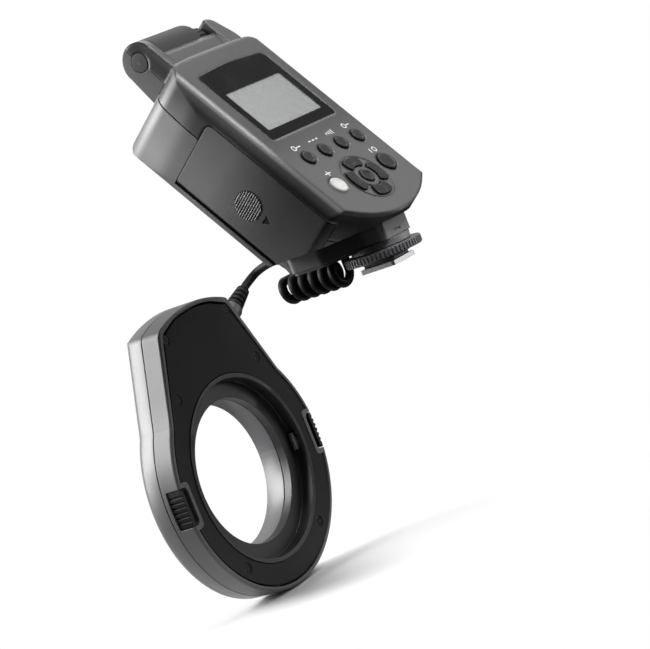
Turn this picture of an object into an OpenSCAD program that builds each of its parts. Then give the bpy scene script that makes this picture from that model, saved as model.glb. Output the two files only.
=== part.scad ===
// Macro ring flash in two parts: a leaning control unit on a shoe foot, and a ring head that goes round
// the front of a lens, joined by a curly cord.
// X is to the right seen from behind, Y is forward, Z is up.
// The origin is the middle of the foot's underside.

/* [Control unit] */
// Width of the casing at its parting line
unit_w = 74; // [72:0.5:80]
// Depth from the key panel to the front wall
unit_d = 45; // [45:0.5:50]
// Height of the key panel above the middle of the pad
panel_up = 90; // [88:0.5:96]
// Lean of the key panel from upright
lean = 34.4; // [30:0.1:37]
// Height of the pad's middle above the foot
pad_z = 38.9; // [38:0.1:41]
// Distance of the pad's middle behind the foot's middle
pad_back = 6.3; // [4:0.1:9]
// Height of the casing's underside above the foot
unit_floor = 19; // [18:0.1:20]
// Thickness of the casing walls
wall = 2; // [1.6:0.1:2.4]
// Thickness of the key panel
panel_t = 2.4; // [2:0.1:2.8]
// Depth of the parting line behind the panel
parting = 17; // [15:0.5:19]

/* [Display] */
// Width of the glossy window
window_w = 53; // [50:0.5:56]
// Height of the glossy window
window_h = 46; // [42:0.5:48]
// Height of the window's lower edge above the pad's middle
window_s = 35.5; // [34:0.5:38]
// Thickness of the window
window_t = 1.4; // [1:0.1:1.6]
// Width of the display's clear area
lcd_w = 44; // [40:0.5:46]
// Height of the display's clear area
lcd_h = 25; // [22:0.5:28]
// Height of the clear area above the window's lower edge
lcd_up = 5.5; // [4:0.5:8]

/* [Keys] */
// Diameter of the four small keys
key_d = 7; // [5:0.1:8]
// Spacing of the four small keys
key_pitch = 13.8; // [12:0.1:14.2]
// Height of the small keys above the pad's middle
key_s = 20.3; // [19:0.1:23]
// Sideways shift of the row of small keys
key_shift = 1.9; // [0:0.1:2.4]
// Diameter of the power key
power_d = 9.5; // [8:0.1:10]
// Diameter of the lit pilot key
pilot_d = 8.5; // [7:0.1:10]
// Sideways distance of the power and pilot keys from the pad's middle
side_key_x = 20.9; // [20:0.1:22]
// Outer radius of the four petals of the pad
pad_r = 11.8; // [11:0.1:12.4]
// Radius of the set key in the pad's middle
set_r = 3.6; // [3:0.1:4]
// Distance that the keys stand proud of the panel
key_proud = 0.9; // [0.5:0.1:1.5]
// Travel of a key
key_travel = 0.6; // [0.3:0.05:0.8]
// Gap round a key
key_gap = 0.25; // [0.15:0.05:0.4]

/* [Battery door] */
// Height of the door's top edge above the pad's middle
door_top = 61; // [56:0.5:64]
// Depth of the door's rear edge behind the panel
door_rear = 8; // [8:0.25:10]
// Distance of the door's front edge from the front wall
door_inset = 4; // [4:0.25:6]
// Travel of the door along its rod
door_travel = 6; // [4:0.5:8]
// Gap round the door
door_gap = 0.3; // [0.2:0.05:0.5]
// Diameter of the rod that the door slides and swings on
rod_d = 1.8; // [1.4:0.1:2]
// Diameter of the ribbed grip on the door
grip_d = 13; // [10:0.5:16]

/* [Cells] */
// Diameter of a cell
cell_d = 14.5; // [13.5:0.1:14.7]
// Length of a cell
cell_l = 50.5; // [44:0.5:51]

/* [Foot] */
// Width of the foot plate
foot_w = 18.6; // [18:0.1:18.7]
// Length of the foot plate
foot_l = 18; // [16:0.5:20]
// Thickness of the foot plate
foot_t = 2; // [1.8:0.05:2.1]
// Width of the shank above the foot plate
shank_w = 12.4; // [11:0.1:12.6]
// Radius of the knurled locking ring
nut_r = 17.5; // [16:0.25:18]
// Height of the locking ring
nut_h = 3.6; // [3:0.1:4]
// Gap between the foot plate and the locking ring
nut_up = 2.5; // [2.2:0.1:3]
// Number of ribs round the locking ring
nut_ribs = 60; // [40:2:72]
// Diameter of the locking pin
pin_d = 2; // [1.6:0.1:2.4]

/* [Ring head] */
// Radius of the ring
ring_r = 57; // [56:0.25:60]
// Rise of the top block above the ring
block_up = 23; // [21:0.5:27]
// Width of the ring from its rim to the bore that the lens looks through
ring_w = 23; // [22:0.5:25]
// Width of the rim round the recess for the lens at the back
seat_w = 15; // [14:0.25:16]
// Depth of the recess round the lens
seat_d = 6; // [4:0.25:6.5]
// Depth of the rear case
band_d = 10; // [10:0.25:12]
// Depth of the front case
front_d = 10.6; // [10:0.2:13]
// Distance of the ring's back in front of the foot's middle
ring_y = 107.6; // [104:0.2:112]
// Depth of the ring's axis below the foot
ring_drop = 67.9; // [66:0.1:72]
// Wall of the ring's cases
ring_wall = 2; // [1.6:0.1:2.2]
// Length of a release button along the rim
release_l = 18; // [14:0.5:20]
// Travel of a release button
release_travel = 2.5; // [1.5:0.1:3]

/* [Cord] */
// Diameter of the cord
cord_d = 4; // [3.4:0.1:4.4]
// Radius of the curls at the middle of the cord
curl_r = 4.5; // [4.3:0.1:4.6]
// Distance from curl to curl
curl_pitch = 5.5; // [5.2:0.1:5.8]

/* [Hidden] */
$fn = 48;

// Clearances shared by several pieces
slip = 0.3;
fit = 0.05;
arc_sag = 0.02;

// Casing of the control unit
half_w = unit_w / 2;
flare = 3;
flare_t = 6.5;
flare_r = 9;
top_narrow = 2.5;
top_arch = 2.5;
narrow_s = door_top + 8;
bottom_s = -8;
bottom_slope = 31.9;
bottom_r = 1.5 * half_w;
corner_r = 10;
panel_edge_r = 2.5;
front_edge_r = 3.4;
seam = 0.5;
post_r = 2.4;

// Keys and four-way pad
key_well = 0.7;
well_deep = 0.5;
key_flange = 0.8;
key_back = panel_t + slip + 1;
pad_in = set_r + 3;
pad_mid = (pad_in + pad_r) / 2;
petal_half = 5.5;
petal_flange = 0.6;
dish_r = 8;
dish_deep = 0.25;
boss_rise = 0.4;
groove_r = pad_r + 0.9;
groove_w = 0.6;
groove_deep = 0.3;

// Battery door
door_front = unit_d - door_inset;
barrel_r = wall + 0.2;
hinge_x = -half_w + barrel_r;
hinge_t = door_front - barrel_r;
door_skin = wall;
rod_low = 14;
door_x = -half_w + door_skin + 0.8;
guide_l = door_travel + 6;
guide_wall = 1.3;

// Battery bay and board
board_t = 8;
board_th = 1.6;
bay_wall = 1.2;
cell_gap = 0.3;
bay_in = 2 * (cell_d + cell_gap);
bay_out = bay_in + 2 * bay_wall;
bay_t = board_t + board_th + bay_out / 2;
bay_s = 26;
bay_left = hinge_x + barrel_r + 0.4;
cell_left = bay_left + 0.2;
contact_th = 0.8;

// Knuckle on the top edge
knuckle_s = panel_up + 15;
knuckle_t = 11;
knuckle_r = 9.1;
ear_out = half_w - 8.5;
ear_th = 4.5;
ear_in = ear_out - ear_th;
ear_deep = 2.5;
shoulder_x = ear_out - 9.7;
shoulder_s = knuckle_s + 2.8;
shoulder_low = panel_up + 5;
pivot_d = 3;
pivot_end = shoulder_x + 2.4;
cap_d = 8.7;
cap_th = 0.8;
thumb_x = shoulder_x - 7.5;
thumb_r = 5.8;
ear_root = panel_up - 4;

// Foot, plinth and locking ring
nut_z = foot_t + nut_up;
collar_z = nut_z + nut_h + slip;
collar_r = 13.5;
plinth_z = collar_z + 1.8;
neck_half = 10.7;
neck_back = 11;
plinth_half = 25;
plinth_front = 33;
thread_r = 11;

// Ring head
ring_d = band_d + front_d;
bore_r = ring_r - ring_w;
seat_r = ring_r - seat_w;
ring_top = ring_r + block_up;
block_half = ring_r / 2;
block_z = ring_top - 5.4;
waist_angle = 33;
waist_sink = 0.3;
waist_l = 3.4;
waist_r = 40;
waist = at_angle(ring_r - waist_sink, waist_angle) + waist_l * at_angle(1, waist_angle + 90);
flank = atan((waist.x - block_half) / (block_z - waist.y));
rear_round = 1.2;
back_inset = 3;
back_t = 2;
tube_r = (bore_r + ring_r) / 2;
window_in = bore_r + 4.5;
window_out = ring_r - 5;
window_span = 130;
board_in = bore_r + ring_wall + slip;
floor_t = 2;
screw_spots = [[block_half - 3.5, ring_top - 10], at_angle(ring_r - 2.5, 52.8), at_angle(ring_r - 8, -50.3)];
screw_r = 1.7;
well_r = 2.6;
screw_l = 5;

// Gland on the right flank of the ring head
gland_z = block_z - 8.6;
gland_x = block_half + (block_z - gland_z) * tan(flank);
boss_out = 4;
boss_r = 4.8;
gland_l = 14;
gland_y = band_d / 2;

// Cord route: the lead's points between the gland and the curls
cord_r = cord_d / 2;
curls = 5.75;
curl_front = 54.5;
curl_z = 3;
curl_rings = 8;
cord_gap = 0.4;
gland_tip = [gland_x + (boss_out + gland_l) * cos(flank), ring_y + gland_y,
             gland_z - ring_drop + (boss_out + gland_l) * sin(flank)];
gland_way = [cos(flank), 0, sin(flank)];
coil_start = [cord_d, curl_front, curl_z + curl_r];
coil_back = curl_front - curls * curl_pitch;
lead_points = concat(
  [gland_tip, gland_tip + gland_way * cord_d],
  [for (b = [[9.3, -3.6, 4.9], [9.3, -10.6, 6.9], [4.3, -19.6, 7.9]]) gland_tip + b],
  [for (b = [[41, 29.5, 5.5], [32, 21.5, 4.5], [23, 13.5, 3.5], [15, 6.5, 1.5]]) coil_start + b],
  [coil_start + [2 * cord_d, 0.6, 0.2], coil_start + [cord_d, 0, 0], coil_start + [cord_gap, 0, 0]]);

// Rounded outlines

function direction(v) = v / norm(v);
function at_angle(r, a) = [r * cos(a), r * sin(a)];
function spin(v, a) = [v.x * cos(a) - v.y * sin(a), v.x * sin(a) + v.y * cos(a)];

// Arc of radius r that rounds the corner p between its neighbours a and b
function corner_arc(a, p, b, r) =
  let (
    u = direction(a - p),
    v = direction(b - p),
    half = acos(max(-1, min(1, u * v))) / 2,
    centre = p + direction(u + v) * r / sin(half),
    start = p + u * r / tan(half) - centre,
    turn = (180 - 2 * half) * (cross(u, v) < 0 ? 1 : -1),
    n = max(1, ceil(abs(turn) / (2 * acos(1 - arc_sag / r))))
  ) [for (k = [0:n]) centre + spin(start, turn * k / n)];

// Outline through corners [x, y, radius], where a radius of 0 leaves the corner sharp
function rounded(c) =
  let (n = len(c), p = [for (q = c) [q.x, q.y]])
  [for (i = [0:n - 1])
    each c[i].z <= 0.01 ? [p[i]] : corner_arc(p[(i + n - 1) % n], p[i], p[(i + 1) % n], c[i].z)];

// Outline that is the same on both sides of x = 0, from its right half, bottom to top
function both_sides(c) = concat(c,
  [for (i = [len(c) - 1:-1:0]) if (c[i].x > 0.01) [-c[i].x, c[i].y, c[i].z]]);

// Local frames

// Control unit: X across, Y into the casing from the key panel, Z up the panel
module unit_frame() translate([0, -pad_back, pad_z]) rotate([-lean, 0, 0]) children();
// Ring head: X across, Y forward from the ring's back, Z up from the ring's axis
module ring_frame() translate([0, ring_y, -ring_drop]) children();
// Turned shapes of the ring head, with their axis forward
module ring_axis() ring_frame() rotate([-90, 0, 0]) children();

module along_x(x0, x1) translate([x0, 0, 0]) rotate([90, 0, 90]) linear_extrude(x1 - x0) children();
module along_y(y0, y1) translate([0, y1, 0]) rotate([90, 0, 0]) linear_extrude(y1 - y0) children();
module along_z(z0, z1) translate([0, 0, z0]) linear_extrude(z1 - z0) children();
module box(a, b) translate(a) cube(b - a);
module both_ways() {
  children();
  mirror([1, 0, 0]) children();
}
module round_plate(x0, x1, z0, z1, r)
  polygon(rounded([[x0, z0, r], [x1, z0, r], [x1, z1, r], [x0, z1, r]]));

// Control unit casing

// Height of the level underside, up the panel, at depth t behind it
function floor_s(t, g = 0) = (unit_floor - pad_z + t * sin(lean) + g) / cos(lean);

// Face of the casing, drawn in by g
module casing_face(g) polygon(rounded(both_sides([
  [0, bottom_s - half_w * tan(bottom_slope) + g, bottom_r - g],
  [half_w - g, bottom_s, 5],
  [half_w - g, narrow_s, 60],
  [half_w - top_narrow - g, panel_up - g, corner_r - g],
  [0, panel_up + top_arch - g, 200]])));

// Side of the casing, with its level underside
module casing_side(g) polygon(rounded([
  [g, floor_s(g, g), 2.6],
  [unit_d - g, floor_s(unit_d - g, g), 5],
  [unit_d - g, panel_up + top_arch - g, 8],
  [g, panel_up + top_arch - g, 3]]));

// Section of the casing, with the sides flaring out from the panel
module casing_section(g) polygon(rounded(both_sides([
  [half_w - flare - g, g, panel_edge_r],
  [half_w - g, flare_t, flare_r],
  [half_w - g, unit_d - g, front_edge_r]])));

module casing(g) intersection() {
  along_y(g, unit_d - g) casing_face(g);
  along_x(-half_w, half_w) casing_side(g);
  along_z(-unit_w, 2 * unit_w) casing_section(g);
}

// Slice of the casing between two depths, above height s
module slice(t0, t1, s = -unit_w) box([-unit_w, t0, s], [unit_w, t1, 2 * unit_w]);

// Room for the battery door in the left side, widened by g
module door_room(g) along_x(-unit_w, door_x + g) polygon(rounded([
  [door_rear - g, -unit_w, 0], [door_front + g, -unit_w, 0],
  [door_front + g, door_top + g, 0], [door_rear - g, door_top + g, 3 + g]]));

module hinge_axis(r, s0, s1) translate([hinge_x, hinge_t, s0]) cylinder(r = r, h = s1 - s0);

// Ear of the knuckle as a side outline
module ear_side() union() {
  translate([knuckle_t, knuckle_s]) circle(knuckle_r);
  ear_foot(knuckle_s);
}

// Foot of the ear and the shoulder as a side outline, up to height s
module ear_foot(s) polygon([
  [knuckle_t - knuckle_r, s], [knuckle_t - knuckle_r, ear_root],
  [knuckle_t + knuckle_r + ear_deep, ear_root], [knuckle_t + knuckle_r, s]]);

// Ear on the left, low shoulder on the right, and the saddle that the barrel lies in
module knuckle_base() difference() {
  union() {
    along_x(-ear_out, -ear_in) ear_side();
    along_x(-ear_in, shoulder_x) intersection() {
      ear_foot(knuckle_s);
      translate([knuckle_t - knuckle_r + 1, ear_root])
        square([2 * knuckle_r - 2, knuckle_s - 3 - ear_root]);
    }
    intersection() {
      along_x(shoulder_x, ear_out) ear_foot(shoulder_s);
      along_y(0, unit_d) polygon(rounded([
        [shoulder_x, ear_root, 0], [ear_out, ear_root, 0], [ear_out, shoulder_low, 12],
        [shoulder_x + 5, shoulder_s, 5], [shoulder_x, shoulder_s, 0]]));
    }
  }
  knuckle_bore(-ear_in, shoulder_x, knuckle_r + slip);
  knuckle_bore(-ear_out - 1, pivot_end + slip, pivot_d / 2 + fit);
  knuckle_bore(-ear_out - 1, -ear_out + cap_th, cap_d / 2 + fit);
}
module knuckle_bore(x0, x1, r) translate([x0, knuckle_t, knuckle_s]) rotate([0, 90, 0])
  cylinder(r = r, h = x1 - x0);

// Places of the round keys: across, up the panel, diameter
key_places = [for (i = [0:3]) [key_shift + (i - 1.5) * key_pitch, key_s, key_d]];
power_place = [side_key_x, 2.2, power_d];
pilot_place = [-side_key_x, 2.2, pilot_d];
round_keys = concat(key_places, [power_place, pilot_place]);
post_spots = [[half_w - 10, -6], [half_w - 8, window_s - 3.5], [half_w - 9, panel_up - 10]];

module at_panel(x, s, t) translate([x, t, s]) rotate([-90, 0, 0]) children();

module window_outline(g) polygon(rounded(both_sides([
  [window_w / 2 - g, window_s + g, 2],
  [window_w / 2 - g, window_s + window_h - 2 - g, 4],
  [0, window_s + window_h - g, window_arch_r]])));
window_arch_r = 150;

module rear_case() color("dimgray") unit_frame() difference() {
  union() {
    difference() {
      intersection() {
        casing(0);
        slice(-1, parting - seam);
      }
      intersection() {
        casing(wall);
        slice(panel_t, parting);
      }
    }
    difference() {
      intersection() {
        casing(seam);
        slice(panel_t, parting);
      }
      casing(wall);
    }
    intersection() {
      knuckle_base();
      slice(-1, knuckle_t, panel_up - wall);
    }
    both_ways() for (p = post_spots) at_panel(p.x, p.y, panel_t - fit)
      cylinder(r = post_r, h = board_t - panel_t + fit);
    at_panel(0, 0, -boss_rise) cylinder(r = pad_in - 2 * slip, h = boss_rise + panel_t / 2);
  }
  along_y(-1, window_t) window_outline(-slip / 2);
  along_y(-1, panel_t + 1) lcd_outline(2);
  for (k = round_keys) at_panel(k.x, k.y, -1) union() {
    cylinder(d = k.z + 2 * key_gap, h = panel_t + 2);
    cylinder(r = k.z / 2 + key_well, h = well_deep + 1);
  }
  for (a = [0:90:270]) rotate([0, a, 0]) along_y(-1, panel_t + 1) petal_outline(-key_gap);
  at_panel(0, 0, -1) cylinder(r = set_r + key_gap, h = panel_t + 2);
  at_panel(0, 0, -1) difference() {
    cylinder(r = groove_r + groove_w, h = groove_deep + 1);
    cylinder(r = groove_r, h = groove_deep + 1);
  }
  door_room(door_gap);
}

module front_case() color("#4a4a4c") unit_frame() difference() {
  union() {
    difference() {
      intersection() {
        casing(0);
        slice(parting, unit_d + 1);
      }
      casing(wall);
    }
    difference() {
      intersection() {
        knuckle_base();
        slice(knuckle_t, unit_d, panel_up - wall);
      }
      intersection() {
        casing(-fit);
        slice(-1, parting);
      }
    }
    intersection() {
      casing(seam);
      box([-half_w, hinge_t - rod_d / 2 - guide_wall, door_top + door_gap],
          [hinge_x + rod_d / 2 + guide_wall, unit_d, door_top + guide_l]);
    }
    intersection() {
      casing(0);
      both_ways() box([bay_out / 2 - 4, bay_t + bay_out / 2 + fit, bay_s - 3],
                      [bay_out / 2 - 1, unit_d - 1, bay_s + 3]);
    }
    both_ways() box([cap_l / 2 - 4, cap_t - 3, cap_s - cap_r - 3.5], [cap_l / 2 - 2, unit_d - 1, cap_s - 2]);
  }
  door_room(door_gap);
  hinge_axis(barrel_r + slip, -20, door_top + door_gap);
  hinge_axis(rod_d / 2 + fit, 0, door_top + guide_l + 1);
  cap_axis(cap_r + 0.05, 60);
}

// Flash capacitor, lying across the casing under its top
cap_r = 11;
cap_l = unit_w - 30;
cap_t = unit_d - wall - cap_r - 1;
cap_s = panel_up - wall - cap_r - 2;
module cap_axis(r, l) translate([-l / 2, cap_t, cap_s]) rotate([0, 90, 0]) cylinder(r = r, h = l);

module flash_capacitor() color("black") unit_frame() difference() {
  cap_axis(cap_r, cap_l);
  translate([cap_l / 2 - 2.6, cap_t, cap_s]) rotate([0, 90, 0]) difference() {
    cylinder(r = cap_r + 1, h = 1);
    cylinder(r = cap_r - 0.7, h = 1);
  }
}

module display_window() color("black") unit_frame() difference() {
  along_y(0, window_t) window_outline(0);
  along_y(-1, window_t + 1) lcd_outline(0);
}

module lcd_outline(g) round_plate(-lcd_w / 2 - g, lcd_w / 2 + g,
  window_s + lcd_up - g, window_s + lcd_up + lcd_h + g, 0.8);
lcd_sunk = 0.25;
module lcd_panel() color("darkslategray") unit_frame() union() {
  along_y(window_t, board_t) lcd_outline(1.6);
  along_y(lcd_sunk, window_t + fit) lcd_outline(-fit);
}

board_in_by = 6;
module main_board() color("darkgreen") unit_frame() difference() {
  along_y(board_t, board_t + board_th)
    round_plate(-half_w + board_in_by, half_w - board_in_by, bottom_s - 2, panel_up - board_in_by, 3);
  both_ways() for (p = post_spots) at_panel(p.x, p.y, board_t - 1) cylinder(d = 1.6, h = board_th + 2);
}

dome_t = key_back + key_travel + 0.15;
mat_half = side_key_x + 3.1;
module key_mat() color("gainsboro") unit_frame() {
  along_y(board_t - 1.4, board_t) round_plate(-mat_half, mat_half, -13, key_s + 6, 3);
  for (k = round_keys) at_panel(k.x, k.y, dome_t) cylinder(d = k.z - 2, h = board_t - dome_t - 0.5);
  for (a = [0:90:270]) rotate([0, a, 0]) at_panel(0, pad_mid, dome_t)
    cylinder(d = 4, h = board_t - dome_t - 0.5);
  at_panel(0, 0, dome_t) cylinder(d = 2 * set_r - 2, h = board_t - dome_t - 0.5);
}

// Keys: a cap through the panel and a flange behind it

module key_cap(d) {
  translate([0, 0, -key_proud]) rotate_extrude() polygon([
    [0, 0.25], [d / 2 - 1.4, 0.25], [d / 2 - 1, 0], [d / 2 - 0.4, 0], [d / 2, 0.4],
    [d / 2, key_proud + panel_t + slip],
    [d / 2 + key_flange, key_proud + panel_t + slip], [d / 2 + key_flange, key_proud + key_back],
    [0, key_proud + key_back]]);
}

module round_key(place) unit_frame() at_panel(place.x, place.y, 0) key_cap(place.z);
module key_1() color("gray") round_key(key_places[0]);
module key_2() color("gray") round_key(key_places[1]);
module key_3() color("gray") round_key(key_places[2]);
module key_4() color("gray") round_key(key_places[3]);
module power_key() color("gray") round_key(power_place);
module pilot_key() color("white") round_key(pilot_place);

// Upper petal of the pad as an outline, drawn in by g
module petal_outline(g) intersection() {
  difference() {
    circle(pad_r - g);
    circle(pad_in + g);
  }
  translate([0, pad_mid]) circle(petal_half - g);
}

module petal(turn) unit_frame() rotate([0, -turn, 0]) difference() {
  union() {
    along_y(-key_proud, key_back) petal_outline(0);
    along_y(panel_t + slip, key_back) petal_outline(-petal_flange);
  }
  translate([0, -key_proud - dish_r + dish_deep, pad_mid]) sphere(r = dish_r, $fn = 64);
}
module pad_up() color("gray") petal(0);
module pad_right() color("gray") petal(90);
module pad_down() color("gray") petal(180);
module pad_left() color("gray") petal(270);
module set_key() color("darkgray") unit_frame() at_panel(0, 0, -set_proud) rotate_extrude() polygon([
  [0, 0.5], [set_r - 1.5, 0.5], [set_r - 1, 0], [set_r - 0.4, 0], [set_r, 0.4],
  [set_r, set_proud + panel_t + slip], [set_r + set_flange, set_proud + panel_t + slip],
  [set_r + set_flange, set_proud + key_back], [0, set_proud + key_back]]);
set_proud = key_proud + 0.3;
set_flange = 0.5;

// Battery bay, cells and contacts

bay_right = cell_left + cell_l + contact_th + 0.3;
row_half = (cell_d + cell_gap) / 2;
module cell_spots() for (i = [-1, 1], j = [-1, 1])
  translate([0, bay_t + i * row_half, bay_s + j * row_half]) rotate([0, 90, 0]) children();

module battery_bay() color("#303030") unit_frame() difference() {
  along_x(bay_left, bay_right + bay_wall)
    round_plate(bay_t - bay_out / 2, bay_t + bay_out / 2, bay_s - bay_out / 2, bay_s + bay_out / 2, 2);
  along_x(bay_left - 1, bay_right)
    round_plate(bay_t - bay_in / 2, bay_t + bay_in / 2, bay_s - bay_in / 2, bay_s + bay_in / 2, 1);
}

nub_l = 1.2;
module aa_cells() color("silver") unit_frame() cell_spots() translate([0, 0, cell_left]) union() {
  cylinder(d = cell_d - 0.4, h = cell_l - nub_l);
  cylinder(d = 5.4, h = cell_l);
}

module bay_contacts() color("goldenrod") unit_frame() {
  along_x(bay_right - contact_th, bay_right) for (i = [-1, 1])
    translate([bay_t + i * row_half, bay_s])
      round_plate(-cell_d / 2 + 2, cell_d / 2 - 2, -cell_d + 2, cell_d - 2, 1);
}

module battery_door() color("#3a3a3c") unit_frame() difference() {
  union() {
    difference() {
      intersection() {
        casing(0);
        door_room(0);
      }
      casing(door_skin);
      box([-half_w - 1, hinge_t, -unit_w], [0, unit_d, door_top + 1]);
    }
    intersection() {
      casing(0);
      hinge_axis(barrel_r, -10, door_top);
    }
    along_x(-half_w + door_skin - fit, bay_left - 0.3 - contact_th) contact_outlines();
  }
  hinge_axis(rod_d / 2 + fit, rod_low - 1, door_top + 1);
  along_x(-half_w - 1, -half_w + grip_sunk) translate([grip_t, grip_s]) circle(d = grip_d + 2 * slip);
  along_x(-half_w - 1, -half_w + 0.4) translate([grip_t, grip_s - grip_d / 2 - 4])
    polygon([[-2.4, 1.4], [2.4, 1.4], [0, -2.2]]);
}

// Ribbed grip let into the door
grip_t = (door_rear + door_front) / 2 + 2;
grip_s = bay_s + 1;
grip_ribs = 11;
grip_pitch = (grip_d - 1.5) / (grip_ribs - 1);
grip_rise = 0.5;
grip_sunk = 0.6;
rib_half = 0.3;
module door_grip() color("#454547") unit_frame() union() {
  along_x(-half_w + fit, -half_w + grip_sunk) translate([grip_t, grip_s]) circle(d = grip_d);
  intersection() {
    along_x(-half_w - grip_rise, -half_w + grip_sunk) translate([grip_t, grip_s]) circle(d = grip_d);
    for (i = [0:grip_ribs - 1]) translate([0, 0, grip_s + (i - (grip_ribs - 1) / 2) * grip_pitch])
      box([-half_w - grip_rise, grip_t - grip_d, -rib_half], [-half_w + slip, grip_t + grip_d, rib_half]);
  }
}

// Two plates that join the cells in pairs, one above the other
module contact_outlines() for (j = [-1, 1]) translate([bay_t, bay_s + j * row_half])
  round_plate(-cell_d + 3, cell_d - 3, -cell_d / 2 + 3, cell_d / 2 - 3, 1);

module door_contacts() color("goldenrod") unit_frame()
  along_x(bay_left - 0.3 - contact_th, bay_left - 0.3) contact_outlines();

module door_rod() color("silver") unit_frame()
  hinge_axis(rod_d / 2, rod_low, door_top + guide_l - 1);

// Knuckle: pin, caps, barrel and its ribbed thumb end

module knuckle_axis() unit_frame() translate([0, knuckle_t, knuckle_s]) rotate([0, 90, 0]) children();
module hinge_pin() color("silver") knuckle_axis() translate([0, 0, -ear_out + cap_th])
  cylinder(d = pivot_d, h = pivot_end + ear_out - cap_th);
module pivot_cap() color("#555557") knuckle_axis() mirror([0, 0, 1]) rotate_extrude() polygon([
  [0, ear_out - cap_th], [cap_d / 2, ear_out - cap_th], [cap_d / 2, ear_out - 0.1],
  [cap_d / 2 - 0.4, ear_out + 0.2], [0, ear_out + 0.35]]);
module top_barrel() color("#2c2c2e") knuckle_axis() translate([0, 0, -ear_in + slip]) rotate_extrude()
  polygon(rounded([
    [pivot_d / 2 + fit, 0, 0], [knuckle_r, 0, 0.8], [knuckle_r, thumb_x + ear_in - slip, barrel_round],
    [pivot_d / 2 + fit, thumb_x + ear_in - slip, 0]]));
barrel_round = 5;
thumb_ribs = 16;
thumb_groove = 0.8;
module thumb_end() color("#333335") knuckle_axis() difference() {
  translate([0, 0, thumb_x]) rotate_extrude() polygon(rounded([
    [pivot_d / 2 + fit, 0, 0], [thumb_r, 0, 0], [thumb_r, shoulder_x - slip - thumb_x, 1.2],
    [pivot_d / 2 + fit, shoulder_x - slip - thumb_x, 0]]));
  for (i = [0:thumb_ribs - 1]) rotate(i * 360 / thumb_ribs) translate([thumb_r + 0.3, 0, thumb_x + 1])
    cylinder(r = thumb_groove, h = shoulder_x - thumb_x, $fn = 16);
}

// Plinth, foot and locking ring

module plinth_plan(g) polygon(rounded(both_sides([
  [neck_half - g, -neck_back + g, 1.5], [neck_half - g, 2, 6], [plinth_half - g, 14, 5],
  [plinth_half - g, plinth_front - g, 4]])));

module plinth() color("#505052") difference() {
  union() {
    along_z(plinth_z + 1.2, unit_floor) plinth_plan(0);
    along_z(plinth_z, plinth_z + 1.2) plinth_plan(0.6);
    translate([0, 0, collar_z]) cylinder(r = collar_r, h = plinth_z - collar_z + 1);
    translate([0, 0, nut_z - 1]) cylinder(r = thread_r, h = collar_z - nut_z + 2);
    box([-shank_w / 2, -foot_l / 2 + 1, foot_t], [shank_w / 2, foot_l / 2 - 1, nut_z]);
  }
  translate([0, pin_y, 0]) cylinder(d = pin_d + 2 * fit, h = unit_floor - 5);
  translate([curl_r, coil_back, plinth_z - 1]) cylinder(r = grommet_r + fit, h = grommet_l + 1);
  both_ways() translate([screw_x, screw_y, plinth_z - 1]) cylinder(r = 2.2, h = 3);
  box([-2.5, -neck_back - 1, unit_floor - 6], [2.5, -neck_back + 0.4, unit_floor - 5]);
}
screw_x = 18;
screw_y = 22;

module foot_plate() color("silver") difference() {
  along_z(0, foot_t) round_plate(-foot_w / 2, foot_w / 2, -foot_l / 2, foot_l / 2, 1.2);
  translate([0, pin_y, -1]) cylinder(d = pin_d + 2 * fit, h = foot_t + 2);
  for (c = contact_spots) translate([c.x, c.y, -1]) cylinder(r = contact_r + 0.2, h = foot_t + 2);
}
contact_r = 0.9;
contact_spots = [[0, 2], [-3.6, -2], [3.6, -2], [-3.6, -5.6], [3.6, -5.6]];
module foot_contacts() color("goldenrod") for (c = contact_spots) translate([c.x, c.y, 0.1])
  cylinder(r = contact_r, h = foot_t - 0.1);

module locking_ring() color("#3c3c3e") difference() {
  union() {
    translate([0, 0, nut_z]) cylinder(r = nut_r - 0.4, h = nut_h);
    for (i = [0:nut_ribs - 1]) rotate(i * 360 / nut_ribs) translate([nut_r - 0.9, -0.45, nut_z + 0.4])
      cube([0.9, 0.9, nut_h - 0.8]);
  }
  translate([0, 0, nut_z - 1]) cylinder(r = thread_r + slip, h = nut_h + 2);
}
pin_reach = 1.2;
pin_y = 6.4;
module locking_pin() color("silver") translate([0, pin_y, 0])
  cylinder(d = pin_d, h = unit_floor - 6 - pin_reach);

module case_screws() color("silver") both_ways() translate([screw_x, screw_y, plinth_z]) difference() {
  cylinder(r = 2, h = 2);
  for (a = [0, 90]) rotate(a) translate([-1.2, -0.25, -1]) cube([2.4, 0.5, 1.6]);
}

// Ring head

// Height at which the block's flank would meet the ring's rim
function waist_z(g) = (ring_r - waist_sink - g - (block_half - g + block_z * tan(flank)) * cos(waist_angle))
  / (sin(waist_angle) - tan(flank) * cos(waist_angle));

// Top block as seen from behind, drawn in by g, from inside the ring to above the crown
module block_plan(g) polygon(rounded(both_sides([
  [bore_r - 4, 0, 0],
  [(ring_r - waist_sink - g) * cos(waist_angle), (ring_r - waist_sink - g) * sin(waist_angle), 0],
  [block_half - g + (block_z - waist_z(g)) * tan(flank), waist_z(g), waist_r],
  [block_half - g, block_z - g, 6 - g / 2],
  [0, ring_top + 4 - g, 0]])));

// Ring and top block as seen from behind, drawn in by g
module ring_outline(g) union() {
  circle(ring_r - g, $fn = 128);
  intersection() {
    block_plan(g);
    circle(ring_top - g, $fn = 128);
  }
}

module at_rim(side) mirror([side < 0 ? 1 : 0, 0, 0]) children();

// Pocket that a release button sits in, at the right side of the rim
pocket_in = ring_r - 6;
release_h = band_d - 2;
module release_pocket(g) along_y(-1, release_h + g)
  round_plate(pocket_in - g, ring_r + 5, -release_l / 2 - g, release_l / 2 + g, 2.5);

module ring_screw_spots() both_ways() for (p = screw_spots)
  translate([p.x, 0, p.y]) rotate([-90, 0, 0]) children();

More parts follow.
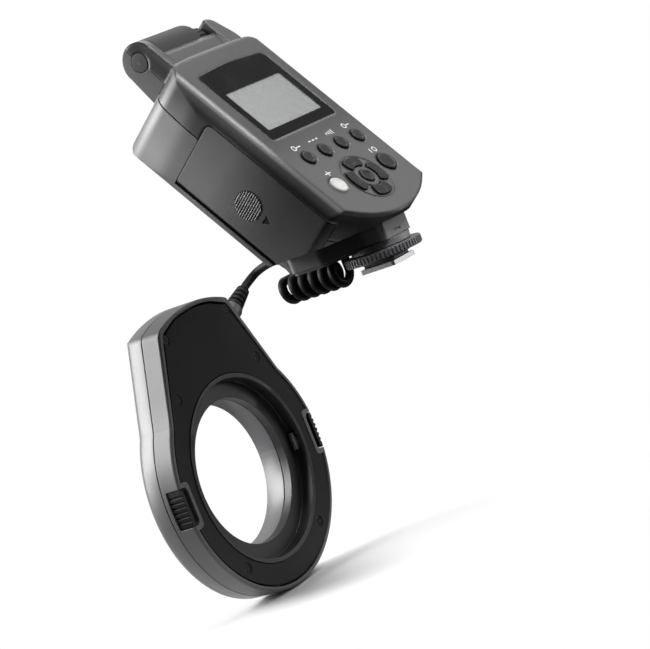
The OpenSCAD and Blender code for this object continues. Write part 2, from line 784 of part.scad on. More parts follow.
// Hollow of the rear case between its rim and the seat for the lens
module rear_room() difference() {
  along_y(-1, band_d - floor_t) ring_outline(ring_wall);
  rotate([-90, 0, 0]) translate([0, 0, -2]) cylinder(r = seat_r + ring_wall, h = band_d + 4);
  ring_screw_spots() translate([0, 0, back_t + 0.4]) cylinder(r = 3.4, h = band_d);
  both_ways() release_pocket(ring_wall);
}

module ring_rear_case() color("#2a2a2c") ring_frame() difference() {
  union() {
    ring_body(0, band_d, rear_round, 0);
    gland_frame() cylinder(r = boss_r, h = boss_out + 3);
  }
  rear_room();
  rotate([-90, 0, 0]) translate([0, 0, -1]) cylinder(r = seat_r, h = seat_d + 1);
  rotate([-90, 0, 0]) translate([0, 0, -1]) cylinder(r = bore_r, h = band_d + 2);
  both_ways() release_pocket(0);
  both_ways() latch_slot();
  ring_screw_spots() cylinder(r = screw_r / 2 + fit, h = screw_l + 1.2);
  gland_frame() translate([0, 0, -4]) cylinder(d = cord_d + 1.4, h = boss_out + 12);
}

module gland_frame() translate([gland_x, gland_y, gland_z]) rotate([0, 90 - flank, 0]) translate([0, 0, -3])
  children();

module latch_slot() box([bore_r - 1, latch_y - slip, -latch_w / 2 - slip],
  [pocket_in + 1, latch_y + latch_t + slip, latch_w / 2 + slip]);
latch_w = 8;
latch_t = 2;
latch_y = seat_d - latch_t - 1.2;
latch_reach = 2.5;

module latch(side) ring_frame() at_rim(side)
  box([seat_r - latch_reach, latch_y, -latch_w / 2], [seat_r + 4, latch_y + latch_t, latch_w / 2]);
module latch_left() color("silver") latch(-1);
module latch_right() color("silver") latch(1);

release_ribs = 6;
module release_button(side) ring_frame() at_rim(side) difference() {
  intersection() {
    along_y(slip, release_h - slip) round_plate(pocket_in + release_travel + slip, ring_r + 2,
      -release_l / 2 + slip, release_l / 2 - slip, 2.2);
    along_y(0, band_d) circle(ring_r - 0.6, $fn = 96);
  }
  for (i = [0:release_ribs - 1]) translate([ring_r - 1.4, -1, (i - (release_ribs - 1) / 2) * 2.3 - 0.5])
    cube([4, band_d + 2, 1]);
}
module release_button_left() color("#3a3a3c") release_button(-1);
module release_button_right() color("#3a3a3c") release_button(1);

module ring_back_plate() color("#1c1c1e") ring_frame() difference() {
  along_y(0.4, back_t + 0.4) difference() {
    ring_outline(back_inset);
    circle(seat_r + ring_wall + slip);
  }
  ring_screw_spots() translate([0, 0, -1]) cylinder(r = well_r, h = 2.2);
  ring_screw_spots() cylinder(r = screw_r / 2 + 0.2, h = 5);
  both_ways() release_pocket(ring_wall + slip);
}

module ring_screws() color("silver") ring_frame() ring_screw_spots() translate([0, 0, 0.6]) difference() {
  union() {
    cylinder(r = well_r - 0.3, h = 0.6);
    cylinder(r = screw_r / 2, h = screw_l);
  }
  for (a = [0, 90]) rotate(a) translate([-1.2, -0.2, -1]) cube([2.4, 0.4, 1.3]);
}

front_y = ring_d;
front_round = 4;

// Turned solid of the ring head from radius r_in to r_out and depth y0 to y1, with its rim rounded
module turned(r_in, r_out, y0, y1, rear_r, front_r) rotate([-90, 0, 0]) rotate_extrude($fn = 128)
  polygon(rounded([[r_in, y0, 0], [r_out, y0, rear_r], [r_out, y1, front_r], [r_in, y1, 0]]));

// Space inside the block's right flank, with the flank's edges rounded
module flank_side(y0, y1, rear_r, front_r) rotate([0, -flank, 0]) along_z(-2 * ring_r, 2 * ring_r)
  polygon(rounded([
    [-2 * ring_r, y0, 0], [flank_out, y0, rear_r], [flank_out, y1, front_r], [-2 * ring_r, y1, 0]]));
flank_out = block_half * cos(flank) + block_z * sin(flank) + fit;

// Ring and top block from depth y0 to y1, with their edges rounded
module ring_body(y0, y1, rear_r, front_r) union() {
  turned(bore_r, ring_r, y0, y1, rear_r, front_r);
  intersection() {
    along_y(y0, y1) difference() {
      block_plan(0);
      circle(bore_r + 1);
    }
    turned(bore_r + 0.5, ring_top, y0, y1, rear_r, front_r);
    flank_side(y0, y1, rear_r, front_r);
    mirror([1, 0, 0]) flank_side(y0, y1, rear_r, front_r);
  }
}

module front_outer() union() {
  ring_body(band_d + seam, front_y, 0, front_round);
  along_y(band_d, band_d + seam + 0.4) difference() {
    ring_outline(seam);
    circle(bore_r + seam);
  }
}

module front_room() difference() {
  union() {
    turned(bore_r + ring_wall, ring_r - ring_wall, band_d - 1, front_y - ring_wall,
      0, front_round - ring_wall);
    along_y(band_d - 1, front_y - ring_wall - 1) difference() {
      intersection() {
        block_plan(ring_wall);
        circle(ring_top - ring_wall, $fn = 128);
      }
      circle(bore_r + ring_wall + 1);
    }
  }
  lamp_spots() translate([0, 0, trough_back + fit]) cylinder(r = lamp_r + 1.6, h = ring_d);
}

module front_window(g) for (a = [0, 180]) rotate([-90, 0, 0]) rotate([0, 0, a - window_span / 2 - g])
  rotate_extrude(angle = window_span + 2 * g, $fn = 128)
    translate([window_in - g, front_y - ring_wall - 1])
      square([window_out - window_in + 2 * g, ring_wall + 2]);

module ring_front_case() color("#58585a") ring_frame() difference() {
  front_outer();
  front_room();
  front_window(0);
  lamp_spots() translate([0, 0, band_d + 4]) cylinder(r = lamp_r + 0.1, h = ring_d);
}

// Focusing lamps between the ends of the two flash windows
lamp_r = 2.6;
module lamp_spots() rotate([-90, 0, 0]) for (a = [78, 102, 258, 282])
  rotate([0, 0, a]) translate([tube_r, 0, 0]) children();
module focus_lamps() color("white") ring_frame() lamp_spots() translate([0, 0, band_d + 5]) union() {
  cylinder(r = lamp_r, h = front_d - 7);
  translate([0, 0, front_d - 7]) sphere(r = lamp_r);
}

module ring_board() color("darkgreen") ring_frame() along_y(band_d, band_d + 1.6) difference() {
  circle(ring_r - ring_wall - slip);
  circle(board_in);
}

module trigger_coil() color("#6a4a30") ring_frame() along_y(band_d, front_y - ring_wall - 2)
  round_plate(-12, 12, ring_r + 3, ring_r + 14, 2);

// Reflector troughs, arc tubes and ribbed diffusers
module arc_part(side, span) ring_axis() rotate([0, 0, (side < 0 ? 180 : 0) - span / 2])
  rotate_extrude(angle = span, $fn = 128) children();

flange_t = 1.2;
trough_y = front_y - ring_wall - flange_t - 0.1;
trough_back = band_d + 1.6;
module reflector(side) arc_part(side, window_span + 6) polygon([
  [window_in - 1, trough_y], [window_in - 1.6, trough_y], [tube_r - 3.6, trough_back],
  [tube_r + 3.6, trough_back],
  [window_out + 1.6, trough_y], [window_out + 1, trough_y], [tube_r + 3, trough_back + 0.7],
  [tube_r - 3, trough_back + 0.7]]);
module reflector_left() color("silver") reflector(-1);
module reflector_right() color("silver") reflector(1);

module arc_tube(side) arc_part(side, window_span - 6) translate([tube_r, trough_back + 2.9])
  circle(r = 1.8, $fn = 24);
module arc_tube_left() color("white") arc_tube(-1);
module arc_tube_right() color("white") arc_tube(1);

diffuser_ribs = 6;
rib_y = front_y - 1;
rib_w = (window_out - window_in - 2 * slip) / diffuser_ribs;
module diffuser(side) arc_part(side, window_span - 0.6) union() {
  translate([window_in - 1, trough_y + fit]) square([window_out - window_in + 2, flange_t]);
  translate([window_in + slip, trough_y + fit]) square([window_out - window_in - 2 * slip, rib_y - trough_y]);
  for (i = [0:diffuser_ribs - 1]) polygon([
    [window_in + slip + i * rib_w, rib_y], [window_in + slip + (i + 1) * rib_w, rib_y],
    [window_in + slip + (i + 0.5) * rib_w, front_y - 0.2]]);
}
module diffuser_left() color("aliceblue") diffuser(-1);
module diffuser_right() color("aliceblue") diffuser(1);

// Cord: gland, grommet, lead and curls

gland_groove = 1.6;
module cord_gland() color("#222224") ring_frame() gland_frame() translate([0, 0, boss_out + 3])
difference() {
  rotate_extrude() polygon([
    [cord_r + fit, 0], [boss_r - 0.3, 0], [boss_r - 0.6, 2], [cord_r + 1.1, gland_l], [cord_r + fit, gland_l]]);
  for (i = [0:3]) translate([0, 0, 3 + i * 2 * gland_groove]) difference() {
    cylinder(r = boss_r + 1, h = gland_groove - 0.4);
    cylinder(r = cord_r + 0.9, h = gland_groove - 0.4);
  }
}

grommet_r = 3.4;
grommet_l = 3;
module cord_grommet() color("#222224") translate([curl_r, coil_back, plinth_z])
  cylinder(r = grommet_r, h = grommet_l);

// Smooth curve through points p, with n steps a span
function smooth(p, n) = concat([for (i = [0:len(p) - 2], k = [0:n - 1])
  let (a = p[max(0, i - 1)], b = p[i], c = p[i + 1], d = p[min(len(p) - 1, i + 2)], t = k / n)
    (2 * b + (c - a) * t + (2 * a - 5 * b + 4 * c - d) * t * t
      + (3 * b - a - 3 * c + d) * t * t * t) / 2],
  [p[len(p) - 1]]);

// Frame across the path, carried from ring to ring without twist
function carried(v, t) = direction(v - t * (v * t));
function path_dirs(p) = [for (i = [0:len(p) - 1]) direction(p[min(len(p) - 1, i + 1)] - p[max(0, i - 1)])];
function across(dirs, first) = [for (i = 0, v = carried(first, dirs[0]); i < len(dirs); i = i + 1,
  v = i < len(dirs) ? carried(v, dirs[i]) : v) v];

// Round tube of radius r with n sides along path p
module tube(p, r, n, first) {
  dirs = path_dirs(p);
  side = across(dirs, first);
  last = len(p) - 1;
  points = [for (i = [0:last], k = [0:n - 1]) let (a = k * 360 / n)
    p[i] + r * (side[i] * cos(a) + cross(dirs[i], side[i]) * sin(a))];
  skin = [for (i = [0:last - 1], k = [0:n - 1], h = [0, 1]) let (a = i * n + k, b = i * n + (k + 1) % n)
    h == 0 ? [a, a + n, b] : [b, a + n, b + n]];
  ends = concat([for (k = [1:n - 2]) [0, k, k + 1]],
    [for (k = [1:n - 2]) [last * n, last * n + k + 1, last * n + k]]);
  polyhedron(points, concat(skin, ends));
}

// Curls: a straight start, the helix and a straight end up into the grommet
curl_steps = ceil(curls * curl_rings);
function curl_at(k) = let (a = 90 + 360 * curls * k / curl_steps)
  [curl_r * cos(a), curl_front - curls * curl_pitch * k / curl_steps, curl_z + curl_r * sin(a)];
coil_path = concat([coil_start, coil_start - [cord_d / 2, 0, 0]], [for (k = [0:curl_steps]) curl_at(k)],
  [[curl_r, coil_back, plinth_z - cord_d / 2], [curl_r, coil_back, plinth_z]]);

// Least gap of the curls to themselves, taken between points at least half a curl apart
apart = ceil(curl_rings / 2);
coil_last = len(coil_path) - 1;
coil_gap = min([for (i = [0:coil_last], j = [i + apart:1:coil_last])
  norm(coil_path[i] - coil_path[j])]) - cord_d;
echo(coil_gap_mm = coil_gap);

module cord_coil() color("#161618") tube(coil_path, cord_r, 6, [0, 1, 0]);
module cord_lead() color("#161618") tube(smooth(lead_points, 2), cord_r, 10, [0, 1, 0]);

rear_case();
front_case();
plinth();
foot_plate();
foot_contacts();
case_screws();
display_window();
lcd_panel();
key_mat();
main_board();
battery_bay();
aa_cells();
bay_contacts();
flash_capacitor();
hinge_pin();
pivot_cap();
top_barrel();
thumb_end();
battery_door();
door_grip();
door_contacts();
door_rod();
locking_ring();
locking_pin();
key_1();
key_2();
key_3();
key_4();
power_key();
pilot_key();
pad_up();
pad_down();
pad_left();
pad_right();
set_key();
cord_grommet();
cord_coil();
cord_lead();
ring_rear_case();
ring_back_plate();
ring_front_case();
ring_screws();
ring_board();
trigger_coil();
reflector_left();
reflector_right();
arc_tube_left();
arc_tube_right();
diffuser_left();
diffuser_right();
focus_lamps();
cord_gland();
release_button_left();
release_button_right();
latch_left();
latch_right();
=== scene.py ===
"""Finishes, cord, light and camera for a macro ring flash: a control unit, a ring head and a curly cord."""

import math

import bmesh
import bpy
from bpy.props import FloatProperty, FloatVectorProperty, PointerProperty
from mathutils import Matrix, Vector


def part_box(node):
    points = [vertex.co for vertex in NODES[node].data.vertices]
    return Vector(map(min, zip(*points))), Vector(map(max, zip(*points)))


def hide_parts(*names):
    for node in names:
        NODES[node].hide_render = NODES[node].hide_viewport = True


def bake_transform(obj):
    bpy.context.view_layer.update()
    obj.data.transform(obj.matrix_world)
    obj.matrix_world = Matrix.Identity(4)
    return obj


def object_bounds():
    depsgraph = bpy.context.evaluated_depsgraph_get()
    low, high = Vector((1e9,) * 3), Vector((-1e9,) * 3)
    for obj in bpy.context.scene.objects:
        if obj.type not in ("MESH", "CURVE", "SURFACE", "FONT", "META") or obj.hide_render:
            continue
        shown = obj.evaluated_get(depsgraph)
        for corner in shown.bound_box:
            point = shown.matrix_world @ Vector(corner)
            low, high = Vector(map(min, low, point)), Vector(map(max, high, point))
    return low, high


bl_info = {
    "name": "Macro ring flash",
    "version": (1, 0, 0),
    "blender": (4, 5, 0),
    "location": "View3D > Sidebar > Ring flash",
    "description": "Finishes, cord, light and camera for a macro ring flash",
    "category": "Object",
}

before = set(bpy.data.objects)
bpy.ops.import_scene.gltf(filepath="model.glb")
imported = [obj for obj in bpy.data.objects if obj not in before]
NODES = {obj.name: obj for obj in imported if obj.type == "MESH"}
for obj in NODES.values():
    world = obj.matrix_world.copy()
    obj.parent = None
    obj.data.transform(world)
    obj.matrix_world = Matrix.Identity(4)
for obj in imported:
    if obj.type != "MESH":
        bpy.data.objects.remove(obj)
CAD_BOX = [list(corner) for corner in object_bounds()]
MM = 0.001

# Width of the photograph in pixels, and of the camera's sensor in millimetres
PHOTO_WIDTH = 650
SENSOR_WIDTH = 36.0

# Span in which most of a noise's values lie
NOISE_SPAN = (0.3, 0.7)

# Rounded edges: samples of the rounding, and the cosines of its turn where the lighter edge, wear and painted
# highlight, starts and is full
EDGE_SAMPLES = 6
EDGE_TURN = (0.995, 0.80)

# Brushed steel: strokes to the metre along and across the brushing
BRUSHING = (300, 12000, 12000)

# Key panel: its lean from upright, and the pad's middle on it
PANEL_LEAN = math.radians(34.4)
PAD_MIDDLE = Vector((0, -6.3, 38.9)) * MM

# Depths behind the panel's face: its flat, the rise and fall of its lip that carries a painted highlight, and
# the sides behind it that are painted darker as shade
FACE_DEPTH = 0.3 * MM
LIP_DEPTHS = (0.3 * MM, 0.9 * MM, 1.6 * MM, 2.6 * MM)
SIDE_DEPTHS = (2.5 * MM, 6 * MM)

# Height above the pad's middle where the lip ends
LIP_TOP = 85 * MM

# Plain marks on the panel, in millimetres from the pad's middle: rows, line width and radius of a hoop
KEY_ROW = 27.6
POWER_ROW = 10.6
PILOT_ROW = 9.6
MARK_LINE = 0.6
MARK_HOOP = 1.2

# Hoops among the marks: across and up
HOOPS = ((-20.8, KEY_ROW), (21.4, KEY_ROW), (22.4, POWER_ROW))

# Bars among the marks: across, up, width and height
BARS = (
    (-17.4, KEY_ROW, 3.4, MARK_LINE),
    (-7.8, KEY_ROW, 1.9, MARK_LINE),
    (-5.0, KEY_ROW, 1.9, MARK_LINE),
    (-2.2, KEY_ROW, 1.9, MARK_LINE),
    (6.2, KEY_ROW, 0.7, 1.2),
    (7.8, KEY_ROW, 0.7, 1.7),
    (9.4, KEY_ROW, 0.7, 2.2),
    (11.0, KEY_ROW, 0.7, 2.7),
    (24.3, KEY_ROW, 2.4, MARK_LINE),
    (19.2, POWER_ROW, 0.7, 2.6),
    (-18.9, PILOT_ROW, 4.4, MARK_LINE),
    (-18.9, PILOT_ROW, MARK_LINE, 2.8),
)

# Pilot key: its middle across and up from the pad's middle, and the radii between which its painted glow
# fades
PILOT_ACROSS = -20.9 * MM
PILOT_UP = 2.2 * MM
PAINTED_GLOW_RADII = (1.0 * MM, 4.2 * MM)

# Display: its middle up from the pad's middle, the inner and outer edges of its border, and its fade
DISPLAY_UP = 53.5 * MM
BORDER_ACROSS = (19.6 * MM, 22 * MM)
BORDER_UP = (10.4 * MM, 12.5 * MM)
DISPLAY_FADE = 60 * MM

# Crown of the casing's sides: its crest behind the panel's face, and its radius
CROWN_CREST = 22 * MM
CROWN_RADIUS = 65 * MM

# Turn of the casing's sides at the bottom: height where it starts, its length and its radius
TURN_START = 45 * MM
TURN_LENGTH = 34 * MM
TURN_RADIUS = 110 * MM

# Neck of the plinth: where its back, painted pale as light, ends
NECK_BACK = (-9.5 * MM, -7.5 * MM)

# Battery door: depth under its skin from which it is painted dark as shade
DOOR_SKIN = 0.15 * MM

# Ring head: the middle of its back on the ring's axis, and the radius of the black seat round its bore
RING_MIDDLE = Vector((0, 107.6, -67.9)) * MM
SEAT_RADIUS = 47 * MM

# Turn of the ring head's front rim: its crest ahead of the back, and its radius
RIM_CREST = 10 * MM
RIM_RADIUS = 22 * MM

# Fillet at the ring head's waist: its place beside and above the ring's axis, the outline's lean there, the
# angle of its crease, its reach to each side, and the softness of its middle
WAIST_BESIDE = 45.2 * MM
WAIST_ABOVE = 34.0 * MM
WAIST_LEAN = math.radians(30.6)
WAIST_CREASE = math.radians(11)
WAIST_REACH = 12 * MM
WAIST_SOFT = 0.8 * MM

# Cell and capacitor: the places of the band across the one and of the stripe along the other
CELL_BAND = (-8 * MM, -7.5 * MM)
CAPACITOR_STRIPE = (23.4 * MM, 23.6 * MM)

# Circuit boards: distance from track to track
TRACK_PITCH = 2.4 * MM

# Floor: its radius, its gap under the object, and the radii between which it fades out
FLOOR_RADIUS = 800 * MM
FLOOR_GAP = 0.5 * MM
FLOOR_FADE = (50 * MM, 180 * MM)

# Tones of the finishes that a user has no need to change
PILOT_MILK = ((0.42, 0.42, 0.41), (0.50, 0.50, 0.49))
PILOT_PAINTED_LIGHT = ((0.03, 0.03, 0.03), (0.22, 0.22, 0.21))
WINDOW_BLACK = ((0.004, 0.004, 0.005), (0.05, 0.05, 0.05))
BRIGHT_STEEL = ((0.42, 0.42, 0.43), (0.62, 0.62, 0.63))
SCREW_STEEL = ((0.012, 0.012, 0.012), (0.20, 0.20, 0.20))
GILT = ((0.83, 0.62, 0.27), (0.50, 0.34, 0.14))
BOARD_GREEN = ((0.008, 0.055, 0.022), (0.020, 0.110, 0.045))
MAT_GREY = (0.42, 0.42, 0.43)
CELL_SLEEVE = ((0.06, 0.065, 0.07), (0.32, 0.33, 0.34))
CELL_SCUFF = (0.5, 0.5, 0.5)
CELL_END = (0.72, 0.72, 0.70)
CAPACITOR_BLACK = ((0.18, 0.18, 0.19), (0.012, 0.012, 0.016))
COIL_RESIN = ((0.05, 0.025, 0.01), (0.12, 0.06, 0.02))
REFLECTOR = ((0.78, 0.78, 0.79), (0.92, 0.92, 0.93))
TUBE_GLASS = ((0.86, 0.90, 0.94), (0.95, 0.97, 1.0))
DIFFUSER = ((0.42, 0.44, 0.45), (0.56, 0.58, 0.59))
LAMP_GLASS = ((0.90, 0.86, 0.74), (0.96, 0.94, 0.88))
FLOOR_GREY = ((0.58, 0.58, 0.58), (0.62, 0.62, 0.62))
WHITE = (1.0, 1.0, 1.0)


def shade(name, value, description):
    """A grey or colour that a user may change."""
    return FloatVectorProperty(
        name=name, description=description, default=value, subtype="COLOR", size=3, min=0, max=1
    )


def length(name, value, description):
    """A size in metres that a user may change."""
    return FloatProperty(name=name, description=description, default=value, unit="LENGTH", precision=5)


def angle(name, degrees, description):
    """An angle that a user may change, given in degrees."""
    return FloatProperty(
        name=name, description=description, default=math.radians(degrees), subtype="ANGLE"
    )


def watts(name, value, description):
    """The power of a light that a user may change."""
    return FloatProperty(name=name, description=description, default=value, unit="POWER", min=0)


class RingFlashFinishes(bpy.types.PropertyGroup):
    """Colours of the moulded, printed and plated pieces."""

    panel: shade("Key panel", (0.058, 0.058, 0.060), "Satin plastic of the rear case")
    shell: shade("Front case", (0.070, 0.070, 0.072), "Satin plastic of the front case")
    door: shade("Battery door", (0.060, 0.060, 0.062), "Satin plastic of the battery door")
    knuckle: shade("Knuckle", (0.036, 0.036, 0.038), "Plastic of the barrel on the top edge")
    ring_back: shade("Ring head's back", (0.006, 0.006, 0.007), "Plastic of the back plate and the seat")
    ring_rim: shade("Ring head's rim", (0.060, 0.060, 0.062), "Satin plastic of the ring head's rim")
    ring_front: shade("Ring head's front", (0.075, 0.075, 0.078), "Satin plastic of the front case")
    keys: shade("Keys", (0.011, 0.011, 0.012), "Rubber of the keys and the pad")
    marks: shade("Printed marks", (0.70, 0.70, 0.70), "Ink of the plain marks by the keys")
    display: shade("Display", (0.29, 0.30, 0.295), "Film of the display")
    cord: shade("Cord", (0.005, 0.005, 0.0055), "Jacket of the cord")


class RingFlashCord(bpy.types.PropertyGroup):
    """Sizes of the cord between the control unit and the ring head."""

    diameter: length("Diameter", 4 * MM, "Diameter of the cord")
    curl_radius: length("Curl radius", 4.5 * MM, "Radius of the curls at the middle of the cord")
    curl_pitch: length("Curl pitch", 5.5 * MM, "Distance from curl to curl")
    curls: FloatProperty(name="Curls", description="Number of turns in the curly length", default=5.75, min=1)


class RingFlashView(bpy.types.PropertyGroup):
    """Place of the camera, and strength of the lights."""

    azimuth: angle("Azimuth", -55.06, "Turn of the camera round the object")
    elevation: angle("Elevation", 5.383, "Height of the camera above the horizon")
    roll: angle("Roll", -21.681, "Turn of the picture about the line of sight")
    distance: length("Distance", 1311.99 * MM, "Distance of the camera from the origin along its sight")
    aside: length("Aside", -27.283 * MM, "Shift of the camera to its right")
    above: length("Above", -25.601 * MM, "Shift of the camera to its top")
    focal: FloatProperty(
        name="Focal length", description="Focal length in pixels of the photograph", default=3057.891, min=1
    )
    side_light: watts("Side light", 15.0, "Power of the low light ahead on the left")
    high_light: watts("High light", 20.0, "Power of the high light ahead on the left")
    rear_light: watts("Rear light", 4.0, "Power of the low light behind the key panel")
    edge_light: watts("Edge light", 15.0, "Power of the light above the panel's edge")
    right_light: watts("Right light", 5.0, "Power of the fill light above on the right")
    dim: FloatProperty(
        name="Dim side",
        description="Strength of the studio behind the camera",
        default=0.12,
        subtype="FACTOR",
        min=0,
        max=1,
    )


class Field:
    """A value, colour or vector in a material, with arithmetic that adds the nodes it needs."""

    def __init__(self, paint, socket):
        self.paint = paint
        self.socket = socket

    def math(self, operation, *others, clamp=False):
        """A Math node with this value first."""
        settings = {"operation": operation, "use_clamp": clamp}
        return self.paint.node("ShaderNodeMath", settings, dict(enumerate((self, *others))))

    def flipped(self, operation, first):
        """A Math node with this value second."""
        return self.paint.node("ShaderNodeMath", {"operation": operation}, {0: first, 1: self})

    def __add__(self, other):
        return self.math("ADD", other)

    __radd__ = __add__

    def __sub__(self, other):
        return self.math("SUBTRACT", other)

    def __rsub__(self, other):
        return self.flipped("SUBTRACT", other)

    def __mul__(self, other):
        return self.math("MULTIPLY", other)

    __rmul__ = __mul__

    def __truediv__(self, other):
        return self.math("DIVIDE", other)

    def __rtruediv__(self, other):
        return self.flipped("DIVIDE", other)

    def __abs__(self):
        return self.math("ABSOLUTE")

    def below(self, limit):
        """1 where this value is below a limit, and 0 elsewhere."""
        return self.math("LESS_THAN", limit)

    def above(self, limit):
        """1 where this value is above a limit, and 0 elsewhere."""
        return self.math("GREATER_THAN", limit)

    def most(self, other):
        """The larger of two values."""
        return self.math("MAXIMUM", other)

    def least(self, other):
        """The smaller of two values."""
        return self.math("MINIMUM", other)

    def root(self):
        """The square root."""
        return self.math("SQRT")

    def squared(self):
        """The value times itself."""
        return self * self

    def wave(self):
        """The sine of an angle."""
        return self.math("SINE")

    def clamped(self):
        """The value kept within 0 and 1."""
        return self.math("ADD", 0.0, clamp=True)

    def ramp(self, low, high, first=0.0, last=1.0):
        """This value carried from the span low to high to the span first to last, and kept within it."""
        ends = {"From Min": low, "From Max": high, "To Min": first, "To Max": last}
        return self.paint.node("ShaderNodeMapRange", {"clamp": True}, {"Value": self, **ends})

    def spread(self, first, last):
        """A noise carried to the span first to last."""
        return self.ramp(*NOISE_SPAN, first, last)

    def fall(self, low, high):
        """A mask that is 1 below low and 0 above high."""
        return self.ramp(low, high, 1.0, 0.0)

    def part(self, axis):
        """One coordinate of a vector."""
        return self.paint.node("ShaderNodeSeparateXYZ", {}, {0: self}, out=axis)

    def dot(self, other):
        """The dot product with another vector."""
        settings = {"operation": "DOT_PRODUCT"}
        return self.paint.node("ShaderNodeVectorMath", settings, {0: self, 1: other}, out="Value")

    def scaled(self, times):
        """A vector with each coordinate multiplied by its own number."""
        return self.paint.node("ShaderNodeVectorMath", {"operation": "MULTIPLY"}, {0: self, 1: times})


class Paint:
    """A material or a world under construction."""

    def __init__(self, block, shader="Principled BSDF"):
        block.use_nodes = True
        self.block = block
        self.tree = block.node_tree
        self.shader = self.tree.nodes[shader]

    def feed(self, socket, value):
        """Links a field to a socket, or sets the socket to a number or a colour."""
        if isinstance(value, Field):
            self.tree.links.new(value.socket, socket)
        elif socket.type == "RGBA" and len(value) == 3:
            socket.default_value = (*value, 1.0)
        else:
            socket.default_value = value

    def node(self, kind, settings, sockets, out=0):
        """One output of a new node, with its settings made first and then its sockets fed."""
        made = self.tree.nodes.new(kind)
        for name, value in settings.items():
            setattr(made, name, value)
        for name, value in sockets.items():
            self.feed(made.inputs[name], value)
        return Field(self, made.outputs[out])

    def place(self):
        """Place on the piece in the shared frame, in metres."""
        return self.node("ShaderNodeTexCoord", {}, {}, out="Object")

    def facing(self):
        """Direction that the plain mesh faces."""
        return self.node("ShaderNodeNewGeometry", {}, {}, out="True Normal")

    def noise(self, size, detail=2.0, roughness=0.5):
        """Noise with features of about that size in metres, from 0 to 1."""
        sockets = {"Vector": self.place(), "Scale": 1 / size, "Detail": detail, "Roughness": roughness}
        return self.node("ShaderNodeTexNoise", {}, sockets)

    def colour(self, factor, first, last):
        """Colour between two others."""
        return self.node("ShaderNodeMix", {"data_type": "RGBA"}, {0: factor, 6: first, 7: last}, out=2)

    def soft_normal(self, radius):
        """Normal of the surface with its edges rounded off by a radius."""
        return self.node("ShaderNodeBevel", {"samples": EDGE_SAMPLES}, {"Radius": radius})

    def edges(self, radius):
        """Mask of the edges, from 0 on the flat to 1 on the edge."""
        return self.soft_normal(radius).dot(self.facing()).ramp(*EDGE_TURN)

    def bump(self, height, depth, radius):
        """Normal with a relief of that depth in metres over edges rounded off by a radius."""
        sockets = {"Height": height, "Distance": depth, "Strength": 1.0, "Normal": self.soft_normal(radius)}
        return self.node("ShaderNodeBump", {}, sockets)

    def fed(self, name):
        """What feeds one of the shader's sockets so far."""
        return Field(self, self.shader.inputs[name].links[0].from_socket)

    def set(self, **sockets):
        """Feeds the shader's sockets, named with their spaces as underscores."""
        for name, value in sockets.items():
            self.feed(self.shader.inputs[name.replace("_", " ")], value)
        return self.block


def finish(name):
    """A new material."""
    return Paint(bpy.data.materials.new(name))


def lighter(colour, times):
    """A colour made lighter or darker."""
    return tuple(min(1.0, c * times) for c in colour)


def reach(first, second):
    """Distance from the middle, from two coordinates."""
    return (first.squared() + second.squared()).root()


def panel_place(paint):
    """Across, up and into the key panel from the pad's middle, in metres."""
    place = paint.place()
    c = math.cos(PANEL_LEAN)
    s = math.sin(PANEL_LEAN)
    y = place.part("Y") - PAD_MIDDLE.y
    z = place.part("Z") - PAD_MIDDLE.z
    return place.part("X"), y * s + z * c, y * c - z * s


def bar(across, up, x, s, wide, high):
    """Mask of a small upright rectangle on the key panel, with its sizes in millimetres."""
    return abs(across - x * MM).below(wide * MM / 2) * abs(up - s * MM).below(high * MM / 2)


def hoop(across, up, x, s):
    """Mask of a small ring on the key panel, with its place in millimetres."""
    return abs(reach(across - x * MM, up - s * MM) - MARK_HOOP * MM).below(MARK_LINE * MM / 2)


def crown(paint):
    """Height of the slight crown of the casing's sides, and of their turn in at the bottom."""
    _, up, into = panel_place(paint)
    low = (TURN_START - up).most(0.0)
    turning = low.least(TURN_LENGTH)
    crest = (into - CROWN_CREST).squared() * (-0.5 / CROWN_RADIUS)
    return crest - turning * (low - turning * 0.5) / TURN_RADIUS


def waist(paint):
    """Height of the soft fillet where the ring head's flanks run into its rim."""
    place = paint.place()
    beside = abs(place.part("X")) - WAIST_BESIDE
    above = place.part("Z") - (RING_MIDDLE.z + WAIST_ABOVE)
    along = above * math.cos(WAIST_LEAN) - beside * math.sin(WAIST_LEAN)
    near = (WAIST_REACH - (along.squared() + WAIST_SOFT**2).root()).most(0.0)
    return near.squared() * (math.tan(WAIST_CREASE / 2) / (2 * WAIST_REACH))


def moulded(
    paint, colour, roughness, grain=0.6 * MM, depth=0.02 * MM, edge=0.4 * MM, wear_and_highlight=1.5, form=0.0, gloss=0.5
):
    """Moulded plastic: a fine sparked texture, slow changes of tone, and edges polished by handling whose
    colour is lighter as wear and as a painted highlight.
    """
    tone = paint.noise(18 * MM, detail=3.0)
    spark = paint.noise(grain, roughness=0.6)
    # rub: the edges, less rough from handling, and lighter in colour as wear and painted highlight
    rub = paint.edges(edge) * paint.noise(6 * MM).ramp(0.25, 0.7)
    base = paint.colour(tone, lighter(colour, 0.88), lighter(colour, 1.12))
    speck = paint.colour(spark.ramp(0.35, 0.75), base, lighter(colour, 1.3))
    paint.set(
        Base_Color=paint.colour(rub * 0.7, speck, lighter(colour, wear_and_highlight)),
        Roughness=(roughness + (spark - 0.5) * 0.12 + (tone - 0.5) * 0.08 - rub * 0.12).clamped(),
        Normal=paint.bump(spark * depth + form, depth=1.0, radius=edge),
        Specular_IOR_Level=gloss,
    )
    return paint.block


